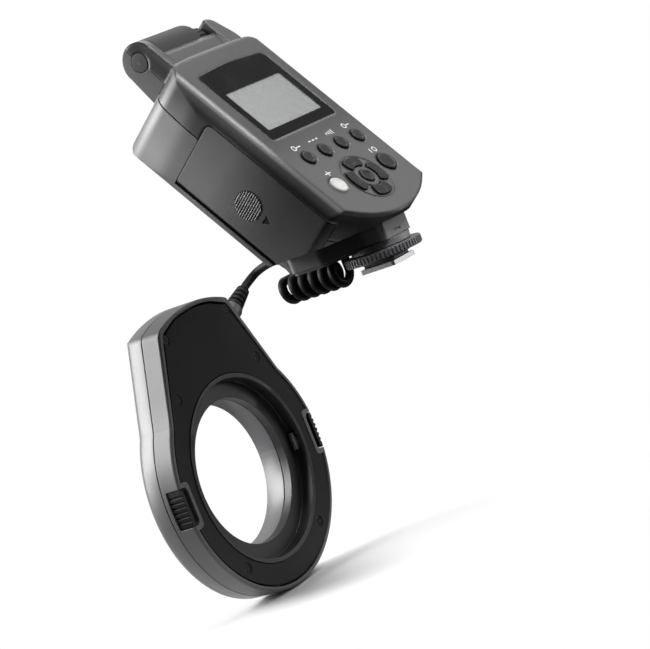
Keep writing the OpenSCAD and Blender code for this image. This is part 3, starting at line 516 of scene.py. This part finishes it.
def panel_plastic(finishes):
    """Satin key panel with plain printed marks over its keys, a polished lip painted lighter as a highlight,
    and sides painted dark as shade.
    """
    paint = finish("panel_plastic")
    moulded(paint, finishes.panel, roughness=0.36, edge=2.0 * MM, wear_and_highlight=1.6, form=crown(paint))
    across, up, into = panel_place(paint)
    ink = hoop(across, up, *HOOPS[0])
    for place in HOOPS[1:]:
        ink = ink.most(hoop(across, up, *place))
    for place in BARS:
        ink = ink.most(bar(across, up, *place))
    ink = ink * into.below(FACE_DEPTH) * paint.noise(0.2 * MM).ramp(0.2, 0.5, 0.7, 1.0)
    # Painted highlight: the lip is lighter in colour; its lower roughness is real polish
    lip = into.ramp(*LIP_DEPTHS[:2]) * into.fall(*LIP_DEPTHS[2:]) * up.below(LIP_TOP)
    # Painted shade: the sides behind the face are darker than the face's own plastic
    sides = into.ramp(*SIDE_DEPTHS, 0.0, 0.9)
    lip_highlight = paint.colour(lip * 0.8, paint.fed("Base Color"), lighter(finishes.panel, 4.4))
    plastic = paint.colour(sides, lip_highlight, lighter(finishes.panel, 0.20))
    return paint.set(
        Base_Color=paint.colour(ink, plastic, finishes.marks),
        Roughness=paint.fed("Roughness") - lip * 0.08,
    )


def shell_plastic(finishes):
    """Satin plastic of the front case."""
    paint = finish("shell_plastic")
    return moulded(paint, finishes.shell, roughness=0.40, edge=0.6 * MM, wear_and_highlight=2.0, form=crown(paint))


def plinth_plastic(finishes):
    """Satin plastic of the plinth, darker than the front case as painted shade under the casing, and paler on
    the back of its neck as painted light.
    """
    paint = finish("plinth_plastic")
    # Painted shade: the plinth is darker than the front case's plastic
    moulded(paint, lighter(finishes.shell, 0.55), roughness=0.44, edge=0.6 * MM, wear_and_highlight=3.0)
    # Painted light: the back of the neck is paler
    pale = paint.place().part("Y").fall(*NECK_BACK)
    return paint.set(Base_Color=paint.colour(pale, paint.fed("Base Color"), lighter(finishes.shell, 2.6)))


def door_plastic(finishes):
    """Satin plastic of the door, painted dark as shade in the sunk triangle and on the inside."""
    paint = finish("door_plastic")
    moulded(paint, finishes.door, roughness=0.46, edge=0.3 * MM, wear_and_highlight=2.0, form=crown(paint))
    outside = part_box("battery_door")[0][0]
    # Painted shade: darker deeper than the skin, in the sunk triangle and on the inside
    sunk_shade = paint.place().part("X").above(outside + DOOR_SKIN)
    return paint.set(Base_Color=paint.colour(sunk_shade, paint.fed("Base Color"), lighter(finishes.door, 0.2)))


def grip_plastic(finishes):
    """Plastic of the door's grip, its ribs rubbed pale."""
    return moulded(finish("grip_plastic"), finishes.door, roughness=0.40, edge=0.4 * MM, wear_and_highlight=4.5)


def knuckle_plastic(finishes):
    """Dull plastic of the barrel, its thumb end and the pivot's cap."""
    paint = finish("knuckle_plastic")
    return moulded(paint, finishes.knuckle, roughness=0.58, edge=0.5 * MM, wear_and_highlight=2.4, gloss=0.2)


def ring_back_plastic(finishes):
    """Black plastic of the ring head's back plate."""
    paint = finish("ring_back_plastic")
    return moulded(paint, finishes.ring_back, roughness=0.55, edge=0.35 * MM, wear_and_highlight=3.0, gloss=0.2)


def ring_front_plastic(finishes):
    """Satin front case whose rim turns in towards the front."""
    paint = finish("ring_front_plastic")
    ahead = paint.place().part("Y") - (RING_MIDDLE.y + RIM_CREST)
    form = ahead.squared() * (-0.5 / RIM_RADIUS) + waist(paint)
    return moulded(paint, finishes.ring_front, roughness=0.36, edge=0.6 * MM, wear_and_highlight=1.6, form=form)


def ring_rear_plastic(finishes):
    """Satin rim that turns black towards the seat in the ring's middle."""
    paint = finish("ring_rear_plastic")
    moulded(paint, finishes.ring_rim, roughness=0.42, edge=0.5 * MM, wear_and_highlight=2.0, form=waist(paint))
    place = paint.place()
    seat = reach(place.part("X"), place.part("Z") - RING_MIDDLE.z).below(SEAT_RADIUS)
    return paint.set(Base_Color=paint.colour(seat, paint.fed("Base Color"), finishes.ring_back))


def button_plastic(finishes):
    """Black plastic of the release buttons, with polished ribs."""
    paint = finish("button_plastic")
    return moulded(paint, finishes.ring_back, roughness=0.34, edge=0.25 * MM, wear_and_highlight=3.0, gloss=0.25)


def locking_plastic(finishes):
    """Plastic of the locking ring, its knurl edges paler, partly as wear and partly as painted glints."""
    paint = finish("locking_plastic")
    # Painted glints: the pale edges of the knurls, with some wear
    return moulded(paint, lighter(finishes.knuckle, 3.2), roughness=0.36, edge=0.25 * MM, wear_and_highlight=4.0)


def inner_plastic(finishes):
    """Dull plastic of the battery bay."""
    return moulded(finish("inner_plastic"), lighter(finishes.door, 0.7), roughness=0.55, edge=0.3 * MM)


def key_rubber(finishes):
    """Matt rubber whose rims shine a little from use, and whose colour is much lighter at the rims as a
    painted highlight.
    """
    paint = finish("key_rubber")
    # Painted highlight: the much lighter colour of the rims, with only a little of it wear
    return moulded(
        paint, finishes.keys, roughness=0.46, grain=0.4 * MM, edge=0.5 * MM, wear_and_highlight=16.0, gloss=0.35
    )


def pilot_glow():
    """Milky key whose glow, brighter in its middle, is painted light."""
    paint = finish("pilot_glow")
    across, up, _ = panel_place(paint)
    painted_glow = reach(across - PILOT_ACROSS, up - PILOT_UP).ramp(*PAINTED_GLOW_RADII, 1.0, 0.25)
    cloud = paint.noise(1.5 * MM)
    return paint.set(
        Base_Color=paint.colour(cloud, *PILOT_MILK),
        Roughness=cloud.ramp(0.2, 0.8, 0.25, 0.4),
        # Painted light: the key glows though no lamp is in it
        Emission_Color=paint.colour(painted_glow, *PILOT_PAINTED_LIGHT),
        Emission_Strength=1.0,
        Normal=paint.soft_normal(0.3 * MM),
    )


def window_gloss():
    """Polished black window with a faint film of dust."""
    paint = finish("window_gloss")
    dust = paint.noise(0.5 * MM, detail=3.0).ramp(0.55, 0.8)
    smear = paint.noise(14 * MM)
    return paint.set(
        Base_Color=paint.colour(dust * 0.3, *WINDOW_BLACK),
        Roughness=(smear.spread(0.06, 0.16) + dust * 0.1).clamped(),
        Normal=paint.soft_normal(0.3 * MM),
        Coat_Weight=0.6,
    )


def display_film(finishes):
    """Display film: a grey ground with a fine grain, darker along its border."""
    paint = finish("display_film")
    across, up, _ = panel_place(paint)
    grain = paint.noise(0.35 * MM, detail=1.0)
    fade = (across + up * 0.6).ramp(0.0, DISPLAY_FADE)
    border = abs(across).ramp(*BORDER_ACROSS).most(abs(up - DISPLAY_UP).ramp(*BORDER_UP))
    ground = paint.colour(fade, lighter(finishes.display, 1.08), lighter(finishes.display, 0.92))
    film = paint.colour(grain * 0.12, ground, lighter(finishes.display, 0.8))
    return paint.set(
        Base_Color=paint.colour(border * 0.25, film, lighter(finishes.display, 0.6)),
        Roughness=paint.noise(4 * MM).spread(0.22, 0.32),
        Normal=paint.soft_normal(0.2 * MM),
        Coat_Weight=0.5,
    )


def plated_steel():
    """Bright plated steel with fine brushing across it."""
    paint = finish("plated_steel")
    strokes = paint.place().scaled(BRUSHING)
    brushed = paint.node("ShaderNodeTexNoise", {}, {"Vector": strokes, "Scale": 1.0, "Detail": 2.0})
    return paint.set(
        Base_Color=paint.colour(brushed, *BRIGHT_STEEL),
        Metallic=1.0,
        Roughness=brushed.spread(0.22, 0.38),
        Normal=paint.bump(brushed, depth=0.01 * MM, radius=0.2 * MM),
    )


def black_steel():
    """Blackened screw steel, bare at the edges of its cross slots."""
    paint = finish("black_steel")
    return paint.set(
        Base_Color=paint.colour(paint.edges(0.2 * MM), *SCREW_STEEL),
        Metallic=1.0,
        Roughness=paint.noise(0.6 * MM).spread(0.28, 0.42),
        Normal=paint.soft_normal(0.15 * MM),
    )


def gilt_brass():
    """Gilt contact metal with a little tarnish."""
    paint = finish("gilt_brass")
    tarnish = paint.noise(2.5 * MM, detail=3.0).ramp(0.4, 0.8)
    return paint.set(
        Base_Color=paint.colour(tarnish, *GILT),
        Metallic=1.0,
        Roughness=tarnish.ramp(0.0, 1.0, 0.2, 0.42),
        Normal=paint.soft_normal(0.2 * MM),
    )


def solder_mask():
    """Green circuit board with lighter tracks under its mask."""
    paint = finish("solder_mask")
    tracks = (paint.place().part("X") * (2 * math.pi / TRACK_PITCH)).wave().above(0.45)
    copper = tracks * paint.noise(7 * MM, detail=1.0).above(0.5)
    return paint.set(
        Base_Color=paint.colour(copper, *BOARD_GREEN),
        Roughness=paint.noise(3 * MM).spread(0.28, 0.4),
        Normal=paint.bump(copper, depth=0.03 * MM, radius=0.2 * MM),
    )


def pale_rubber():
    """Grey silicone of the key mat."""
    return moulded(finish("pale_rubber"), MAT_GREY, roughness=0.6, grain=0.5 * MM)


def cell_sleeve():
    """Plain cell sleeve with a darker band near one end, and bare steel on both ends."""
    paint = finish("cell_sleeve")
    band = paint.place().part("X").ramp(*CELL_BAND)
    scuff = paint.noise(3 * MM, detail=4.0).ramp(0.5, 0.8)
    ends = abs(paint.facing().part("X")).above(0.7)
    sleeve = paint.colour(scuff * 0.25, paint.colour(band, *CELL_SLEEVE), CELL_SCUFF)
    return paint.set(
        Base_Color=paint.colour(ends, sleeve, CELL_END),
        Metallic=ends.ramp(0.0, 1.0, 0.2, 0.7),
        Roughness=scuff.ramp(0.0, 1.0, 0.3, 0.45),
        Normal=paint.soft_normal(0.3 * MM),
    )


def capacitor_sleeve():
    """Shrunk sleeve of the flash capacitor, with a pale stripe along it."""
    paint = finish("capacitor_sleeve")
    _, _, into = panel_place(paint)
    ripple = paint.noise(1.2 * MM)
    return paint.set(
        Base_Color=paint.colour(into.ramp(*CAPACITOR_STRIPE), *CAPACITOR_BLACK),
        Roughness=ripple.spread(0.2, 0.34),
        Normal=paint.bump(ripple, depth=0.03 * MM, radius=0.3 * MM),
    )


def potted_coil():
    """Trigger coil in amber potting resin."""
    paint = finish("potted_coil")
    flow = paint.noise(3 * MM, detail=3.0)
    return paint.set(
        Base_Color=paint.colour(flow, *COIL_RESIN),
        Roughness=flow.spread(0.15, 0.3),
        Normal=paint.bump(flow, depth=0.1 * MM, radius=0.5 * MM),
    )


def reflector_metal():
    """Polished reflector with faint rolling lines."""
    paint = finish("reflector_metal")
    lines = paint.noise(0.8 * MM)
    return paint.set(
        Base_Color=paint.colour(lines, *REFLECTOR),
        Metallic=1.0,
        Roughness=lines.spread(0.06, 0.14),
        Normal=paint.bump(lines, depth=0.01 * MM, radius=0.2 * MM),
    )


def arc_glass():
    """Clear tube glass."""
    paint = finish("arc_glass")
    seeds = paint.noise(1.5 * MM)
    return paint.set(
        Base_Color=paint.colour(seeds, *TUBE_GLASS),
        Roughness=seeds.spread(0.03, 0.08),
        Transmission_Weight=0.9,
        IOR=1.47,
    )


def ribbed_diffuser():
    """Frosted diffuser plastic."""
    paint = finish("ribbed_diffuser")
    frost = paint.noise(0.35 * MM)
    return paint.set(
        Base_Color=paint.colour(frost, *DIFFUSER),
        Roughness=frost.spread(0.18, 0.3),
        Normal=paint.bump(frost, depth=0.03 * MM, radius=0.15 * MM),
        Transmission_Weight=0.45,
        IOR=1.49,
    )


def lamp_glass():
    """Focusing lamp: a clear dome over a warm filament."""
    paint = finish("lamp_glass")
    haze = paint.noise(1.0 * MM)
    return paint.set(
        Base_Color=paint.colour(haze, *LAMP_GLASS),
        Roughness=haze.spread(0.05, 0.12),
        Transmission_Weight=0.7,
        IOR=1.5,
    )


def cord_jacket(finishes):
    """Smooth rubber jacket with faint rub marks."""
    paint = finish("cord_jacket")
    rub = paint.noise(2.2 * MM, detail=3.0)
    return paint.set(
        Base_Color=paint.colour(rub, lighter(finishes.cord, 0.8), lighter(finishes.cord, 1.7)),
        Roughness=rub.spread(0.44, 0.56),
        Normal=paint.bump(paint.noise(0.3 * MM), depth=0.01 * MM, radius=0.2 * MM),
        Specular_IOR_Level=0.12,
    )


def floor_paint():
    """Pale painted floor that fades out far from the object."""
    paint = finish("floor_paint")
    tone = paint.noise(600 * MM)
    place = paint.place()
    return paint.set(
        Base_Color=paint.colour(tone, *FLOOR_GREY),
        Roughness=tone.spread(0.7, 0.8),
        Alpha=reach(place.part("X"), place.part("Y")).fall(*FLOOR_FADE),
    )


def coat(material, *names):
    """Gives CAD nodes a material."""
    for name in names:
        mesh = NODES[name].data
        mesh.materials.clear()
        mesh.materials.append(material)


class RINGFLASH_OT_stage(bpy.types.Operator):
    """Makes the camera, the floor and the studio lights"""

    bl_idname = "ringflash.stage"
    bl_label = "Stage"

    # Studio: spans over which it brightens towards the front and upwards, and its strength below
    front_span = (0.30, 0.90)
    rise_span = (-0.40, 0.30)
    below = 0.15

    # Lights: the point that they face, and for each its size and its place from that point, in metres
    aim = Vector((0, 0.06, -0.01))
    stands = {
        "side_light": (0.8, Vector((-0.28, 1.08, 0.36))),
        "high_light": (0.8, Vector((-0.58, 0.80, 0.70))),
        "rear_light": (0.8, Vector((0.84, -0.82, 0.24))),
        "edge_light": (0.5, Vector((0.12, -0.72, 0.96))),
        "right_light": (0.8, Vector((0.72, 0.16, 0.94))),
    }

    # Farthest distance that the camera sees, in metres
    sight_end = 50.0
    floor_sides = 64

    def execute(self, context):
        view = context.scene.ring_flash_view
        self.camera(context, view)
        self.floor(context)
        self.studio(context, view)
        self.lights(context, view)
        return {"FINISHED"}

    @staticmethod
    def sight(view):
        """Directions towards the camera, to its right and to its top, with its roll."""
        a, e = view.azimuth, view.elevation
        back = Vector((math.sin(a) * math.cos(e), -math.cos(a) * math.cos(e), math.sin(e)))
        level = Vector((math.cos(a), math.sin(a), 0))
        top = back.cross(level)
        c, s = math.cos(view.roll), math.sin(view.roll)
        return back, level * c + top * s, top * c - level * s

    def camera(self, context, view):
        """Camera at the photograph's place."""
        back, right, up = self.sight(view)
        data = bpy.data.cameras.new("camera")
        data.sensor_width = SENSOR_WIDTH
        data.lens = view.focal * SENSOR_WIDTH / PHOTO_WIDTH
        data.clip_end = self.sight_end
        camera = bpy.data.objects.new("camera", data)
        turn = Matrix((right, up, back)).transposed().to_4x4()
        stand = right * view.aside + up * view.above + back * view.distance
        camera.matrix_world = Matrix.Translation(stand) @ turn
        context.scene.collection.objects.link(camera)
        context.scene.camera = camera

    def floor(self, context):
        """Round floor under the ring head."""
        mesh = bpy.data.meshes.new("floor")
        shape = bmesh.new()
        bmesh.ops.create_circle(shape, cap_ends=True, segments=self.floor_sides, radius=FLOOR_RADIUS)
        shape.to_mesh(mesh)
        shape.free()
        mesh.materials.append(floor_paint())
        floor = bpy.data.objects.new("floor", mesh)
        floor.location = (RING_MIDDLE.x, RING_MIDDLE.y, CAD_BOX[0][2] - FLOOR_GAP)
        context.scene.collection.objects.link(floor)

    def studio(self, context, view):
        """White surroundings that light the object from the front and from above."""
        world = bpy.data.worlds.new("studio")
        context.scene.world = world
        context.scene.view_settings.view_transform = "Standard"
        paint = Paint(world, "Background")
        way = paint.node("ShaderNodeTexCoord", {}, {}, out="Generated")
        ahead = way.part("Y").ramp(*self.front_span, view.dim, 1.0)
        rise = way.part("Z").ramp(*self.rise_span, self.below, 1.0)
        seen = paint.node("ShaderNodeLightPath", {}, {}, out="Is Camera Ray")
        paint.set(Color=WHITE, Strength=(ahead * rise).most(seen))

    def lights(self, context, view):
        """Soft square lights round the object."""
        for name, (size, stand) in self.stands.items():
            data = bpy.data.lights.new(name, "AREA")
            data.energy = getattr(view, name)
            data.size = size
            light = bpy.data.objects.new(name, data)
            light.location = self.aim + stand
            light.rotation_mode = "QUATERNION"
            light.rotation_quaternion = (-stand).to_track_quat("-Z", "Y")
            context.scene.collection.objects.link(light)


class RINGFLASH_OT_cord(bpy.types.Operator):
    """Lays the cord from the ring head's gland to the curls under the control unit"""

    bl_idname = "ringflash.cord"
    bl_label = "Cord"

    # Route of the plain lead from the gland's tip to the start of the curls, in metres
    lead = [
        Vector(p) * MM
        for p in (
            (48.710, 112.6, 5.083),
            (52.397, 112.6, 6.635),
            (58.010, 109.0, 9.983),
            (58.010, 102.0, 11.983),
            (53.010, 93.0, 12.983),
            (45, 84, 13),
            (36, 76, 12),
            (27, 68, 11),
            (19, 61, 9),
            (12, 55.1, 7.7),
            (8, 54.5, 7.5),
            (4, 54.5, 7.5),
        )
    ]

    # Curls: where they start, the height of their axis, and the rise of the tail to the grommet
    curl_front = 54.5 * MM
    curl_height = 3 * MM
    tail_rise = 2 * MM
    grommet_height = 10.2 * MM

    # Fineness of the tube: points between two of the lead, rings in a curl, and sides of a ring
    lead_steps = 6
    rings_a_curl = 24
    sides = 16

    def execute(self, context):
        sizes = context.scene.ring_flash_cord
        path = self.route(sizes)
        cord = self.tube("cord", path, sizes.diameter / 2)
        cord.data.materials.append(cord_jacket(context.scene.ring_flash_finishes))
        context.scene.collection.objects.link(cord)
        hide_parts("cord_lead", "cord_coil")
        run = sum((b - a).length for a, b in zip(path, path[1:]))
        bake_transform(cord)
        return {"FINISHED"}

    def route(self, sizes):
        """Points down the middle of the cord, from the ring head to the control unit."""
        turns = sizes.curls
        radius = sizes.curl_radius
        steps = math.ceil(turns * self.rings_a_curl)
        curls = []
        for k in range(steps + 1):
            a = math.pi / 2 + 2 * math.pi * turns * k / steps
            y = self.curl_front - turns * sizes.curl_pitch * k / steps
            curls.append(Vector((radius * math.cos(a), y, self.curl_height + radius * math.sin(a))))
        last = curls[-1]
        tail = [Vector((last.x, last.y, z)) for z in (last.z + self.tail_rise, self.grommet_height)]
        return self.smooth(self.lead, self.lead_steps)[:-1] + curls + tail

    @staticmethod
    def smooth(points, steps):
        """Points along a smooth curve through the given ones."""
        found = []
        for i in range(len(points) - 1):
            a, b, c, d = (points[max(0, min(len(points) - 1, i + k))] for k in (-1, 0, 1, 2))
            for k in range(steps):
                t = k / steps
                bend = (2 * a - 5 * b + 4 * c - d) * t**2 + (3 * b - a - 3 * c + d) * t**3
                found.append((2 * b + (c - a) * t + bend) / 2)
        return found + [points[-1]]

    def tube(self, name, path, radius):
        """Round tube along a path, with its rings carried along without twist."""
        mesh = bpy.data.meshes.new(name)
        shape = bmesh.new()
        side = Vector((0, 1, 0))
        turns = [2 * math.pi * k / self.sides for k in range(self.sides)]
        rings = []
        for i, p in enumerate(path):
            along = (path[min(len(path) - 1, i + 1)] - path[max(0, i - 1)]).normalized()
            side = (side - along * side.dot(along)).normalized()
            other = along.cross(side)
            spokes = [side * math.cos(t) + other * math.sin(t) for t in turns]
            rings.append([shape.verts.new(p + radius * spoke) for spoke in spokes])
        for a, b in zip(rings, rings[1:]):
            for k in range(self.sides):
                n = (k + 1) % self.sides
                shape.faces.new((a[k], a[n], b[n], b[k]))
        shape.faces.new(reversed(rings[0]))
        shape.faces.new(rings[-1])
        shape.normal_update()
        bmesh.ops.recalc_face_normals(shape, faces=shape.faces)
        for face in shape.faces:
            face.smooth = True
        shape.to_mesh(mesh)
        shape.free()
        return bpy.data.objects.new(name, mesh)


class RINGFLASH_OT_casing(bpy.types.Operator):
    """Finishes the control unit's cases, plinth and battery door"""

    bl_idname = "ringflash.casing"
    bl_label = "Casing"

    def execute(self, context):
        finishes = context.scene.ring_flash_finishes
        coat(panel_plastic(finishes), "rear_case")
        coat(shell_plastic(finishes), "front_case")
        coat(plinth_plastic(finishes), "plinth")
        coat(door_plastic(finishes), "battery_door")
        coat(grip_plastic(finishes), "door_grip")
        return {"FINISHED"}


class RINGFLASH_OT_panel(bpy.types.Operator):
    """Finishes the display, its window and the keys"""

    bl_idname = "ringflash.panel"
    bl_label = "Keys and display"

    def execute(self, context):
        finishes = context.scene.ring_flash_finishes
        coat(window_gloss(), "display_window")
        coat(display_film(finishes), "lcd_panel")
        coat(
            key_rubber(finishes),
            *("key_1", "key_2", "key_3", "key_4", "power_key"),
            *("pad_up", "pad_down", "pad_left", "pad_right", "set_key"),
        )
        coat(pilot_glow(), "pilot_key")
        return {"FINISHED"}


class RINGFLASH_OT_knuckle(bpy.types.Operator):
    """Finishes the knuckle on the control unit's top edge"""

    bl_idname = "ringflash.knuckle"
    bl_label = "Knuckle"

    def execute(self, context):
        finishes = context.scene.ring_flash_finishes
        coat(knuckle_plastic(finishes), "top_barrel", "thumb_end", "pivot_cap")
        return {"FINISHED"}


class RINGFLASH_OT_foot(bpy.types.Operator):
    """Finishes the shoe foot, its locking ring, and the pins, rod and latches"""

    bl_idname = "ringflash.foot"
    bl_label = "Foot, pins and latches"

    def execute(self, context):
        finishes = context.scene.ring_flash_finishes
        coat(locking_plastic(finishes), "locking_ring")
        coat(
            plated_steel(),
            *("foot_plate", "locking_pin", "hinge_pin", "door_rod", "latch_left", "latch_right"),
        )
        return {"FINISHED"}


class RINGFLASH_OT_insides(bpy.types.Operator):
    """Finishes the boards, cells, contacts and fasteners"""

    bl_idname = "ringflash.insides"
    bl_label = "Insides"

    def execute(self, context):
        finishes = context.scene.ring_flash_finishes
        coat(inner_plastic(finishes), "battery_bay")
        coat(cell_sleeve(), "aa_cells")
        coat(gilt_brass(), "bay_contacts", "door_contacts", "foot_contacts")
        coat(solder_mask(), "main_board", "ring_board")
        coat(pale_rubber(), "key_mat")
        coat(capacitor_sleeve(), "flash_capacitor")
        coat(black_steel(), "case_screws", "ring_screws")
        return {"FINISHED"}


class RINGFLASH_OT_ring_cases(bpy.types.Operator):
    """Finishes the ring head's cases, buttons and cord entry"""

    bl_idname = "ringflash.ring_cases"
    bl_label = "Ring head's cases"

    def execute(self, context):
        finishes = context.scene.ring_flash_finishes
        coat(ring_rear_plastic(finishes), "ring_rear_case")
        coat(ring_back_plastic(finishes), "ring_back_plate")
        coat(ring_front_plastic(finishes), "ring_front_case")
        coat(button_plastic(finishes), "release_button_left", "release_button_right")
        coat(cord_jacket(finishes), "cord_gland", "cord_grommet")
        return {"FINISHED"}


class RINGFLASH_OT_ring_light(bpy.types.Operator):
    """Finishes the ring head's tubes, reflectors, diffusers and lamps"""

    bl_idname = "ringflash.ring_light"
    bl_label = "Ring head's light"

    def execute(self, context):
        coat(reflector_metal(), "reflector_left", "reflector_right")
        coat(arc_glass(), "arc_tube_left", "arc_tube_right")
        coat(ribbed_diffuser(), "diffuser_left", "diffuser_right")
        coat(lamp_glass(), "focus_lamps")
        coat(potted_coil(), "trigger_coil")
        return {"FINISHED"}


OPERATORS = (
    RINGFLASH_OT_stage,
    RINGFLASH_OT_cord,
    RINGFLASH_OT_casing,
    RINGFLASH_OT_panel,
    RINGFLASH_OT_knuckle,
    RINGFLASH_OT_foot,
    RINGFLASH_OT_insides,
    RINGFLASH_OT_ring_cases,
    RINGFLASH_OT_ring_light,
)


class RINGFLASH_PT_pieces(bpy.types.Panel):
    """Lists the steps that dress the ring flash"""

    bl_idname = "RINGFLASH_PT_pieces"
    bl_label = "Ring flash"
    bl_space_type = "VIEW_3D"
    bl_region_type = "UI"
    bl_category = "Ring flash"

    def draw(self, context):
        for operator in OPERATORS:
            self.layout.operator(operator.bl_idname)
        for group in GROUPS:
            box = self.layout.box()
            values = getattr(context.scene, group)
            for name in values.bl_rna.properties.keys():
                if name not in ("rna_type", "name"):
                    box.prop(values, name)


GROUPS = {
    "ring_flash_finishes": RingFlashFinishes,
    "ring_flash_cord": RingFlashCord,
    "ring_flash_view": RingFlashView,
}
CLASSES = (*GROUPS.values(), *OPERATORS, RINGFLASH_PT_pieces)


def register():
    """Adds the classes, and the values to the scene."""
    for cls in CLASSES:
        bpy.utils.register_class(cls)
    for name, group in GROUPS.items():
        setattr(bpy.types.Scene, name, PointerProperty(type=group))


def unregister():
    """Takes the values from the scene, and the classes away."""
    for name in GROUPS:
        delattr(bpy.types.Scene, name)
    for cls in reversed(CLASSES):
        bpy.utils.unregister_class(cls)


def main():
    """Dresses the part."""
    register()
    for operator in OPERATORS:
        group, name = operator.bl_idname.split(".")
        getattr(getattr(bpy.ops, group), name)()


if __name__ == "__main__":
    main()
